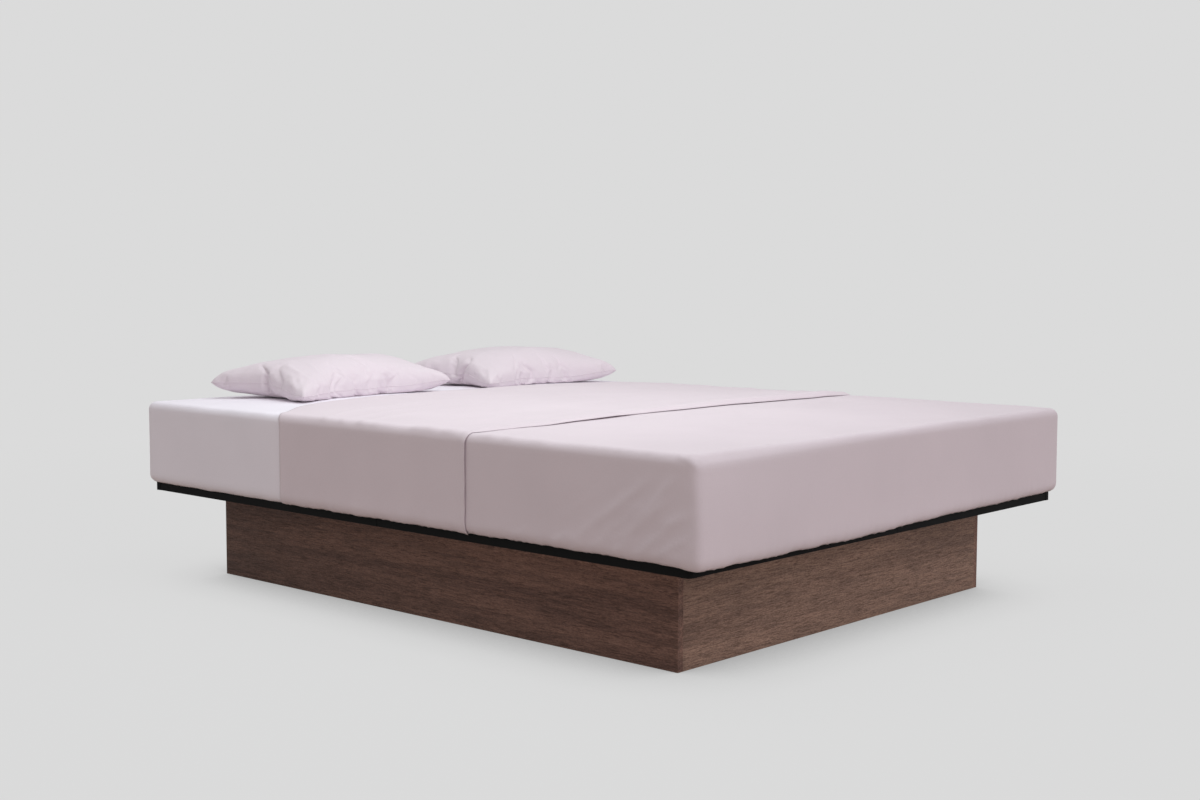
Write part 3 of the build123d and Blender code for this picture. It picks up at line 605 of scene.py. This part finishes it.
# Folds pulled out of the foot corner on the left side: both ends as (y, z), height and width
PULLED_FOLDS = (
    ((-0.985, 0.478), (-0.86, 0.335), 0.0030, 0.0080), ((-0.975, 0.43), (-0.8, 0.285), 0.0034, 0.0088),
    ((-1.0, 0.4), (-0.88, 0.285), 0.0030, 0.0072), ((-0.93, 0.47), (-0.7, 0.3), 0.0022, 0.0096),
    ((-0.8, 0.335), (-0.735, 0.275), 0.0026, 0.0064), ((-0.68, 0.32), (-0.61, 0.272), 0.0022, 0.0056),
    ((-0.995, 0.345), (-0.93, 0.28), 0.0026, 0.0056), ((-0.55, 0.315), (-0.49, 0.272), 0.0018, 0.0048),
    ((-0.89, 0.4), (-0.77, 0.305), 0.0024, 0.0064), ((-0.86, 0.33), (-0.81, 0.275), 0.0024, 0.0048),
    ((-0.75, 0.345), (-0.665, 0.28), 0.0016, 0.0056), ((-0.92, 0.33), (-0.87, 0.275), 0.0024, 0.0048),
)


def wrinkles(co, top, left, low):
    """The lift of a made-up sheet's creases: at its foot corner, at its hem and on top.

    Each call gives the crease's height in metres and where it shows, the plane that its pattern
    lies in with the pattern's wavelengths, a seed and a sharpness.
    """
    x, y, z = co.T
    lift = left * folds(y, z, PULLED_FOLDS)
    down, out = (y + 1.0) * 0.66 + (z - 0.5) * 0.75, (y + 1.0) * 0.75 - (z - 0.5) * 0.66
    near_corner = left * smooth(-y, 0.5, 0.92) * smooth(-z, -0.47, -0.36)
    lift += ridged(0.0017 * near_corner, np.column_stack([down, out, z * 0]), (0.028, 0.14, 1), 17, 0.2)
    lift += ridged(0.0010 * left, np.column_stack([y, z, x]), (0.2, 0.9, 1), 8, 0.2)
    around = np.column_stack([x + y, x - y, z])
    lift += ridged(0.0018 * low, around, (0.04, 0.04, 0.2), 9, 0.2)
    pinch = bump(y, -1.005, 0.03) * bump(x, -0.81, 0.03) * smooth(z, 0.465, 0.495)
    lift += ridged(0.0040 * pinch, co, (0.03, 0.03, 0.02), 11, 0.1)
    lift += ridged(0.0019 * top * smooth(y, -0.75, -0.35), co, (0.7, 0.085, 1), 13, 0.25)
    lift += ridged(0.0012 * top, co, (0.35, 0.2, 1), 15, 0.3)
    patches = top * smooth(ripple(co * (1, 1, 0), (0.5, 0.4, 1), 18), -0.1, 0.4)
    lift += ridged(0.0014 * patches, co, (0.3, 0.035, 1), 16, 0.4)
    return lift


def settled(co, no, share=1.0):
    """Where made-up linen lies: the crown, the sagging hem, the bulging foot corner and its creases."""
    x, y, z = co.T
    top, left = faces_of(no)
    moved = squared(co)
    moved[:, 2] += crowned(co)
    low = 1 - smooth(z, 0.268, 0.335)
    near_foot = smooth(-y, HALF_Y - 0.06, HALF_Y - 0.02)
    moved[:, 2] += (curve_through(FOOT_HEM, x) - HEM) * low * near_foot
    around = np.column_stack([x + y, x - y, z * 0])
    moved[:, 2] += 0.0026 * ripple(around, (0.12, 0.12, 1), 3) * low
    belly = 0.4 + 0.6 * np.sin(np.clip((SHOULDER - z) / 0.235, 0, 1) * math.pi * 0.72)
    belly = belly * smooth(-z, -0.506, -0.478)
    moved[:, 1] -= 0.021 * near_foot * smooth(-x, 0.0, 0.85) * belly
    lift = 0.0010 * (1 + ripple(co, (0.32, 0.26, 0.3), 5))
    lift += 0.0010 * top * (1 + ripple(co, (0.5, 0.17, 1), 14)) + share * wrinkles(co, top, left, low)
    return moved + no * lift[:, None]


def lay(obj, extra=None, share=1.0):
    """Settles a sheet's mesh as made-up linen, moved on by an extra function where one is given."""
    mesh = obj.data
    co, no = coordinates(mesh), normals(mesh)
    moved = settled(co, no, share)
    if extra is not None:
        moved = extra(co, no, moved)
    put(mesh, moved)
    return obj


def on_top_of(z):
    """1 on the bed's top and 0 down its sides."""
    return smooth(z, SHOULDER - 0.026, SHOULDER - 0.001)


def swept_crease(co, no, moved):
    """Draws the crease of the top sheet towards the pillows where it lies on top."""
    x, y, z = co.T
    moved = moved.copy()
    moved[:, 1] += (curve_through(CREASE, x) - CREASE_Y) * smooth(y, -0.15, CREASE_Y) * on_top_of(z)
    return moved


def thickened(obj, thickness, offset=-1):
    """The mesh as cloth of a real thickness, inwards unless the offset says otherwise."""
    solid = obj.modifiers.new("thickness", "SOLIDIFY")
    solid.thickness = thickness
    solid.offset = offset
    solid.use_even_offset = True
    return applied(obj)


def lifted_flap(co, no, moved):
    """The flap's free edge wavers, and the cloth behind it rises in a soft roll."""
    x, y, z = co.T
    moved = swept_crease(co, no, moved)
    on_top = on_top_of(z)
    back = y - EDGE_Y
    moved[:, 1] += (curve_through(FREE_EDGE, x) - EDGE_Y) * (1 - smooth(y, EDGE_Y, EDGE_Y + 0.3)) * on_top
    height = 0.0050 + 0.0075 * smooth(x, -0.7, 0.4)
    height = height * (1 + 0.3 * ripple(co, (0.25, 1, 1), 21))
    roll = height * smooth(back, -0.004, 0.02) * (1 - 0.85 * smooth(back, 0.02, 0.115))
    roll += 0.0030 * bump(back, 0.16, 0.04) * (1 + 0.8 * ripple(co, (0.22, 1, 1), 22))
    ends = smooth(HALF_X - abs(x), 0.0, 0.16)
    gape = 0.0026 * bump(back, 0.0, 0.012) * (1 + ripple(co, (1, 1, 0.035), 23)) * (1 - on_top)
    rise = roll * (0.12 + 0.88 * on_top * (0.3 + 0.7 * ends)) + gape + 0.0006
    return moved + no * rise[:, None]


fitted = lay(from_bmesh("fitted_sheet_cloth", skin(2 * LINEN_STEP, 1.4 * GRID)), share=0.4)
fitted = thickened(fitted, CLOTH)
finish_piece(fitted, BED, materials["fitted_cotton"], "fitted_cotton", "fitted_sheet")

under_cut = cut(skin(LINEN_STEP, GRID), (0, CREASE_Y, 0), (0, 1, 0))
under = lay(from_bmesh("top_sheet_under", under_cut), swept_crease)
flap_cut = cut(skin(0.0, GRID), (0, CREASE_Y, 0), (0, 1, 0))
flap_cut = cut(flap_cut, (0, EDGE_Y, 0), (0, -1, 0))
flap = lay(from_bmesh("top_sheet_flap", flap_cut), lifted_flap)


def joined_at_crease(a, b, name):
    """One sheet from the part that lies and the part that is turned back, sewn at their crease."""
    bm = bmesh.new()
    bm.from_mesh(a.data)
    count = len(bm.verts)
    bm.from_mesh(b.data)
    bm.verts.index_update()
    edge = [v for v in bm.verts if v.is_boundary and v.co.y > CREASE_Y - 0.004]
    lower = [v for v in edge if v.index < count]
    upper = [v for v in edge if v.index >= count]
    partner = {v: min(upper, key=lambda u: (u.co - v.co).length_squared) for v in lower}
    links = [e.verts for e in bm.edges if e.is_boundary and all(v in partner for v in e.verts)]
    for p, q in links:
        if partner[p] != partner[q]:
            bm.faces.new((p, q, partner[q], partner[p]))
    bmesh.ops.recalc_face_normals(bm, faces=bm.faces)
    for obj in (a, b):
        bpy.data.objects.remove(obj)
    return from_bmesh(name, bm)


top_sheet = joined_at_crease(under, flap, "top_sheet_cloth")
top_sheet = thickened(top_sheet, CLOTH * 0.75, 0)
finish_piece(top_sheet, BED, materials["sheet_cotton"], "sheet_cotton", "top_sheet")

# Pillows: the case's cut, half of what it measures when stuffed, its height over and depth under
# its seam, how far the seam is above what it lies on, and how far it droops along the front
CASE_CUT = np.array((0.66, 0.44))
CASE_HALF = (0.312, 0.203)
CASE_TOP, CASE_BELLY, SEAM_HEIGHT, SEAM_DROOP = 0.077, 0.058, 0.042, 0.024
CASE_GRID = 0.0075


def bag(name, spacing):
    """Two panels of cloth sewn together all round, a little apart in the middle, and their seam."""
    (width, depth), gap = CASE_CUT, 0.03
    nx, ny = round(width / spacing), round(depth / spacing)
    xs, ys = np.linspace(-width / 2, width / 2, nx + 1), np.linspace(-depth / 2, depth / 2, ny + 1)
    bm = bmesh.new()
    upper = [[bm.verts.new((x, y, gap * lens(x / width, y / depth))) for x in xs] for y in ys]
    lower = [list(row) for row in upper]
    for j in range(1, ny):
        for i in range(1, nx):
            lower[j][i] = bm.verts.new((xs[i], ys[j], -gap * lens(xs[i] / width, ys[j] / depth)))
    for j in range(ny):
        for i in range(nx):
            bm.faces.new((upper[j][i], upper[j][i + 1], upper[j + 1][i + 1], upper[j + 1][i]))
            bm.faces.new((lower[j][i], lower[j + 1][i], lower[j + 1][i + 1], lower[j][i + 1]))
    bm.verts.index_update()
    first, last = [row[0] for row in upper], [row[-1] for row in upper]
    sides = upper[0][:-1], last[:-1], upper[-1][:0:-1], first[:0:-1]
    seam = [v.index for side in sides for v in side]
    return from_bmesh(name, bm), seam


def lens(u, v):
    """1 in the middle of a panel and 0 at its edge, for shares from -0.5 to 0.5."""
    return (1 - abs(2 * u) ** 3) * (1 - abs(2 * v) ** 3)


def blown(obj, pressure, frames):
    """The bag filled out by a cloth simulation, with its result made part of the mesh."""
    cloth = obj.modifiers.new("cloth", "CLOTH")
    settings = cloth.settings
    settings.quality = 6
    settings.mass = 0.2
    settings.tension_stiffness = settings.compression_stiffness = 40
    settings.shear_stiffness = 8
    settings.bending_stiffness = 0.02
    settings.use_pressure = True
    settings.uniform_pressure_force = pressure
    settings.effector_weights.gravity = 0
    settings.air_damping = 2
    cloth.point_cache.frame_start, cloth.point_cache.frame_end = 1, frames
    for frame_number in range(1, frames + 1):
        bpy.context.scene.frame_set(frame_number)
    obj = applied(obj)
    bpy.context.scene.frame_set(1)
    return obj


def gathered(co, no, seed, lines):
    """Puckers along the seams and out of the corners, and a few long folds."""
    x, y, z = co.T
    half_x, half_y = CASE_HALF
    side_gap, end_gap = half_x - abs(x), half_y - abs(y)
    gap = np.maximum(np.minimum(side_gap, end_gap), 0)
    along = np.where(side_gap < end_gap, y, x)
    facing = np.column_stack([along, gap * 0.25, np.sign(z)])
    by_seam = np.exp(-gap / 0.04) * (1 - np.exp(-gap / 0.008))
    lift = 0.0036 * by_seam * ridges(facing, (0.022, 0.06, 1), seed, 0.1)
    for corner_x in (-half_x, half_x):
        for corner_y in (-half_y, half_y):
            dx, dy = x - corner_x, y - corner_y
            reach, turn = np.hypot(dx, dy), np.arctan2(dy, dx)
            fan = np.column_stack([turn, reach * 1.5, z * 0])
            lift += 0.0048 * ridges(fan, (0.2, 0.5, 1), seed + 3, 0.1) * bump(reach, 0.06, 0.05)
    lift += 0.0016 * ridges(co, (0.16, 0.1, 0.2), seed + 5, 0.3)
    lift += folds(x, y, lines) * (z > 0)
    return co + no * lift[:, None]


def tube_along(name, points, radius):
    """A closed sewn edge as a thin round tube, made into a mesh."""
    curve = bpy.data.curves.new(name, "CURVE")
    curve.dimensions = "3D"
    curve.bevel_depth = radius
    curve.bevel_resolution = 2
    spline = curve.splines.new("POLY")
    spline.points.add(len(points) - 1)
    spline.use_cyclic_u = True
    for point, place in zip(spline.points, points):
        point.co = (*place, 1)
    path = new_object(name + "_path", curve)
    mesh = bpy.data.meshes.new_from_object(path)
    bpy.data.objects.remove(path)
    mesh.shade_smooth()
    return new_object(name, mesh)


def shaped(co):
    """Brings the blown bag to the case's measures: full, drooping in front, flat underneath."""
    co[:, :2] *= CASE_HALF / np.abs(co[:, :2]).max(0)
    above, below = co[:, 2] > 0, co[:, 2] <= 0
    co[above, 2] = CASE_TOP * (co[above, 2] / co[:, 2].max()) ** 0.7
    co[below, 2] = -CASE_BELLY * (co[below, 2] / co[:, 2].min()) ** 0.76
    droop = smooth(-co[:, 1], 0.02, 0.19) * (1 - 0.75 * smooth(co[:, 0], 0.1, 0.3))
    co[:, 2] -= SEAM_DROOP * droop
    soft = 0.006
    depth = SEAM_HEIGHT - soft * np.log1p(np.exp(np.clip((SEAM_HEIGHT + co[:, 2]) / soft, -30, 30)))
    under = co[:, 2] < 0
    co[under, 2] = -depth[under]
    return co


def pillow(side, seed, turn, middle, lines):
    """A stuffed pillow in its case, seated at its CAD form's lowest point, turned by some degrees."""
    obj, seam = bag("pillow_cloth_" + side, CASE_GRID)
    co = coordinates(obj.data)
    co[:, 2] += 0.004 * ripple(co, (0.12, 0.09, 1), seed) * lens(*(co[:, :2] / CASE_CUT).T)
    put(obj.data, co)
    obj = blown(obj, 7.0, 34)
    co = shaped(coordinates(obj.data))
    put(obj.data, co)
    stuffed = co.copy()
    co = gathered(co, normals(obj.data), seed, lines)
    co[:, 2] = np.maximum(co[:, 2], -SEAM_HEIGHT)
    put(obj.data, co)
    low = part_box("pillow_case_" + side)[0].z
    seat = (*middle, low + SEAM_HEIGHT + 0.0012)
    at = Matrix.Translation(seat) @ Matrix.Rotation(math.radians(turn), 4, "Z")
    body = "pillow_" + side
    filling = new_object("pillow_filling_soft_" + side, obj.data.copy())
    stuffed *= (0.93, 0.9, 0.86)
    stuffed[:, 2] += 0.0015 * ripple(stuffed, (0.05, 0.05, 0.05), seed + 9) - 0.001
    put(filling.data, stuffed)
    subdivision = obj.modifiers.new("subdivision", "SUBSURF")
    subdivision.levels = subdivision.render_levels = 1
    obj = applied(obj)
    rim = coordinates(obj.data)[seam]
    edge = tube_along("pillow_seam_" + side, rim * (1.001, 1.001, 1), 0.0013)
    for piece in (obj, filling, edge):
        piece.matrix_world = at
    finish_piece(obj, body, materials["pillow_cotton"], "pillow_cotton", "pillow_case_" + side)
    finish_piece(filling, body, materials["pillow_fill"], "pillow_fill", "pillow_filling_" + side)
    finish_piece(edge, body, materials["pillow_cotton"], "pillow_cotton")


# Each pillow's long folds: both ends as (x, y) on the pillow, height and width
pillow("left", 31, 5.0, (-0.31, 0.79), (
    ((-0.06, 0.02), (0.05, -0.19), 0.0050, 0.010),
    ((-0.01, 0.0), (0.11, -0.17), 0.0035, 0.008),
    ((-0.22, -0.02), (-0.25, -0.19), 0.0050, 0.009),
    ((-0.16, -0.05), (-0.19, -0.19), 0.0035, 0.008),
    ((0.1, 0.05), (0.27, -0.05), 0.0030, 0.012),
))
pillow("right", 37, 1.5, (0.445, 0.785), (
    ((-0.25, 0.0), (-0.28, -0.18), 0.0045, 0.009),
    ((-0.12, -0.06), (-0.1, -0.19), 0.0025, 0.007),
    ((0.02, -0.08), (0.05, -0.19), 0.0025, 0.007),
    ((0.22, 0.02), (0.28, -0.1), 0.0040, 0.010),
    ((-0.1, 0.1), (0.15, 0.04), 0.0025, 0.014),
))

# What the linen hides: covers, foam, liner, water and fibre


def slot_of(node):
    """The record's material slot of a CAD node."""
    return next(p["material_slot"] for p in frame["record"]["subparts"] if p["node"] == node)


def softened(node, voxel, sink, sizes, seed):
    """A softer copy of a CAD solid: remeshed, smoothed and sunk in unevenly by up to a depth."""
    obj = new_object(node + "_soft", nodes[node].data.copy())
    remesh = obj.modifiers.new("remesh", "REMESH")
    remesh.mode = "VOXEL"
    remesh.voxel_size = voxel
    relax = obj.modifiers.new("relax", "SMOOTH")
    relax.iterations = 3
    obj = applied(obj)
    co, no = coordinates(obj.data), normals(obj.data)
    put(obj.data, co - no * (sink * 0.5 * (1 + ripple(co, sizes, seed)))[:, None])
    finish_piece(obj, BED, materials[slot_of(node)], slot_of(node), node)
    return obj


def divided(node, longest, dip, sizes, seed):
    """A copy of a thin CAD solid cut into short edges, with shallow waves in its faces."""
    bm = bmesh.new()
    bm.from_mesh(nodes[node].data)
    bmesh.ops.remove_doubles(bm, verts=bm.verts, dist=1e-6)
    for _ in range(7):
        long_edges = [e for e in bm.edges if e.calc_length() > longest]
        bmesh.ops.subdivide_edges(bm, edges=long_edges, cuts=1)
        bmesh.ops.triangulate(bm, faces=[f for f in bm.faces if len(f.verts) > 3])
    obj = from_bmesh(node + "_soft", bm)
    co = coordinates(obj.data)
    co[:, 2] += dip * (ripple(co * (1, 1, 0), sizes, seed) - 0.5)
    put(obj.data, co)
    obj.data.shade_flat()
    finish_piece(obj, BED, materials[slot_of(node)], slot_of(node), node)
    return obj


QUILT = 22


def quilted(co, no):
    """The top cover's crown, with stitched lines drawn in between its puffs."""
    moved = co.copy()
    moved[:, 2] += crowned(co)
    x, y = co[:, 0], co[:, 1]
    lines = np.minimum(abs(np.sin((x + y) * QUILT)), abs(np.sin((x - y) * QUILT)))
    dip = 0.0025 * np.exp(-lines / 0.22) * smooth(no[:, 2], 0.6, 0.95)
    return moved - no * dip[:, None]


zip_low, zip_high = ZIP_CHANNEL
upper_cover = from_bmesh("top_cover_cloth", cut(skin(COVER_STEP, 0.016), (0, 0, zip_high), (0, 0, -1)))
put(upper_cover.data, quilted(coordinates(upper_cover.data), normals(upper_cover.data)))
upper_cover = thickened(upper_cover, 0.0075)
finish_piece(upper_cover, BED, materials["cover_knit"], "cover_knit", "top_cover")
lower_cut = cut(skin(COVER_STEP, 0.03, closed=True), (0, 0, zip_low), (0, 0, 1))
lower_cover = thickened(from_bmesh("base_cover_cloth", lower_cut), 0.0028)
finish_piece(lower_cover, BED, materials["cover_base_cloth"], "cover_base_cloth", "base_cover")

for index, end in enumerate(("left", "right", "foot", "head")):
    rail = softened("foam_rail_" + end, 0.012, 0.001, (0.3, 0.3, 0.3), 41 + index)
softened("foam_divider", 0.009, 0.001, (0.3, 0.3, 0.3), 46)
for index, side in enumerate(("left", "right")):
    softened("water_core_" + side, 0.013, 0.002, (0.35, 0.35, 0.4), 51 + index)
    softened("fibre_insert_" + side, 0.012, 0.003, (0.12, 0.12, 0.12), 53 + index)
divided("base_pad", 0.06, 0.0006, (0.2, 0.2, 1), 58)
divided("safety_liner", 0.05, 0.0008, (0.12, 0.12, 1), 59)

# Floor, light and camera. The floor's backdrop tone carries a painted contact shadow: its ramp pairs the
# floor's openness to the sky, within its reach, with its share of the backdrop's tone; SHADOW_SHARE is how
# much of the lamps' shadow shows, gone at SHADOW_FADE's end.
CAMERA_AT = (-3.28984, -3.01825, 0.868375)
YAW, PITCH, ROLL = 47.66, 4.4785, -0.14595
FOCAL_PIXELS, PHOTO_WIDTH, SENSOR = 1573.14, 1200, 36.0
BACKDROP = (0.708, 0.708, 0.708)
BOUNCE = (0.45, 0.36, 0.31)
PAINTED_CONTACT_SHADOW = ((0.2, 0.46), (0.38, 0.74), (0.58, 0.94), (0.8, 1.0))
PAINTED_SHADOW_REACH = 0.35
SHADOW_SHARE, SHADOW_FADE = 0.06, (1.5, 4.5)
WORLD_LEVEL = 0.56


def add_camera():
    """The camera that was fitted to the photograph."""
    yaw, pitch, roll = (math.radians(v) for v in (YAW, PITCH, ROLL))
    forward = Vector((math.sin(yaw) * math.cos(pitch), math.cos(yaw) * math.cos(pitch), -math.sin(pitch)))
    right = Vector((math.cos(yaw), -math.sin(yaw), 0))
    down = forward.cross(right)
    r = math.cos(roll) * right + math.sin(roll) * down
    d = -math.sin(roll) * right + math.cos(roll) * down
    matrix = Matrix((r, -d, -forward)).transposed().to_4x4()
    matrix.translation = Vector(CAMERA_AT)
    data = bpy.data.cameras.new("camera")
    data.sensor_width = SENSOR
    data.lens = FOCAL_PIXELS / PHOTO_WIDTH * SENSOR
    data.clip_end = 200
    camera = new_object("camera", data)
    camera.matrix_world = matrix
    bpy.context.scene.camera = camera


def seen_directly(tree):
    """1 where the camera, a gloss or a pane looks at the surface, and 0 where bounced light does."""
    path = tree.nodes.new("ShaderNodeLightPath")
    total = path.outputs["Is Camera Ray"]
    for name in ("Is Glossy Ray", "Is Transmission Ray"):
        either = tree.nodes.new("ShaderNodeMath")
        either.operation = "MAXIMUM"
        tree.links.new(total, either.inputs[0])
        tree.links.new(path.outputs[name], either.inputs[1])
        total = either.outputs[0]
    return total


def add_floor():
    """A pale floor with a painted contact shadow in its backdrop tone, a little of the lamps' own shadow,
    and no line where it meets the backdrop.
    """
    bm = bmesh.new()
    bmesh.ops.create_grid(bm, x_segments=24, y_segments=24, size=40)
    floor = from_bmesh("floor", bm)
    material = bpy.data.materials.new("floor")
    material.use_nodes = True
    tree = material.node_tree
    tree.nodes.clear()
    out = tree.nodes.new("ShaderNodeOutputMaterial")
    shaded, backdrop_and_painted_shadow = tree.nodes.new("ShaderNodeBsdfDiffuse"), tree.nodes.new("ShaderNodeEmission")
    bounce = tree.nodes.new("ShaderNodeBsdfDiffuse")
    shaded.inputs[0].default_value = (0.74, 0.74, 0.74, 1)
    bounce.inputs[0].default_value = (*BOUNCE, 1)
    # Painted shadow: the backdrop tone that the floor shows is darkened where the bed hides the sky
    # nearby.
    shadow_openness, painted_shadow_ramp = tree.nodes.new("ShaderNodeAmbientOcclusion"), tree.nodes.new("ShaderNodeValToRGB")
    shadow_openness.inputs["Distance"].default_value = PAINTED_SHADOW_REACH
    set_stops(painted_shadow_ramp.color_ramp, [(at, tuple(share * c for c in BACKDROP)) for at, share in PAINTED_CONTACT_SHADOW])
    tree.links.new(shadow_openness.outputs["AO"], painted_shadow_ramp.inputs[0])
    tree.links.new(painted_shadow_ramp.outputs[0], backdrop_and_painted_shadow.inputs[0])
    place, length = tree.nodes.new("ShaderNodeTexCoord"), tree.nodes.new("ShaderNodeVectorMath")
    length.operation = "LENGTH"
    tree.links.new(place.outputs["Object"], length.inputs[0])
    share = tree.nodes.new("ShaderNodeMapRange")
    for socket, value in zip(list(share.inputs)[1:], (*SHADOW_FADE, SHADOW_SHARE, 0.0)):
        socket.default_value = value
    tree.links.new(length.outputs["Value"], share.inputs[0])
    pale, whole = tree.nodes.new("ShaderNodeMixShader"), tree.nodes.new("ShaderNodeMixShader")
    tree.links.new(share.outputs[0], pale.inputs[0])
    tree.links.new(backdrop_and_painted_shadow.outputs[0], pale.inputs[1])
    tree.links.new(shaded.outputs[0], pale.inputs[2])
    tree.links.new(seen_directly(tree), whole.inputs[0])
    tree.links.new(bounce.outputs[0], whole.inputs[1])
    tree.links.new(pale.outputs[0], whole.inputs[2])
    tree.links.new(whole.outputs[0], out.inputs[0])
    floor.data.materials.append(material)


def add_world():
    """A plain backdrop for the eye and an even light for the surfaces."""
    world = bpy.data.worlds.new("studio")
    bpy.context.scene.world = world
    world.use_nodes = True
    tree = world.node_tree
    tree.nodes.clear()
    out = tree.nodes.new("ShaderNodeOutputWorld")
    seen, light = tree.nodes.new("ShaderNodeBackground"), tree.nodes.new("ShaderNodeBackground")
    mix = tree.nodes.new("ShaderNodeMixShader")
    seen.inputs[0].default_value = (*BACKDROP, 1)
    light.inputs[0].default_value = (1, 1, 1, 1)
    light.inputs[1].default_value = WORLD_LEVEL
    tree.links.new(seen_directly(tree), mix.inputs[0])
    tree.links.new(light.outputs[0], mix.inputs[1])
    tree.links.new(seen.outputs[0], mix.inputs[2])
    tree.links.new(mix.outputs[0], out.inputs[0])


def add_sun(name, energy, colour, spread, azimuth, elevation):
    """A soft sun in degrees: its spread, its way round from the foot side, and its height."""
    data = bpy.data.lights.new(name, "SUN")
    data.energy, data.color = energy, colour
    data.angle = math.radians(spread)
    sun = new_object(name, data)
    a, e = math.radians(azimuth), math.radians(elevation)
    towards = Vector((math.sin(a) * math.cos(e), -math.cos(a) * math.cos(e), math.sin(e)))
    sun.rotation_mode = "QUATERNION"
    sun.rotation_quaternion = towards.to_track_quat("Z", "Y")


def add_lamp(name, energy, colour, place, size):
    """A square lamp that shines straight down."""
    data = bpy.data.lights.new(name, "AREA")
    data.energy, data.color = energy, colour
    data.shape, data.size = "SQUARE", size
    new_object(name, data).location = place


add_floor()
add_world()
add_lamp("overhead", 20.5, (0.93, 1.0, 1.0), (-0.38, -0.15, 2.3), 1.5)
add_sun("front", 0.66, (0.97, 0.975, 1.03), 60, 8, 25)
add_camera()
bpy.context.scene.view_settings.view_transform = "Standard"
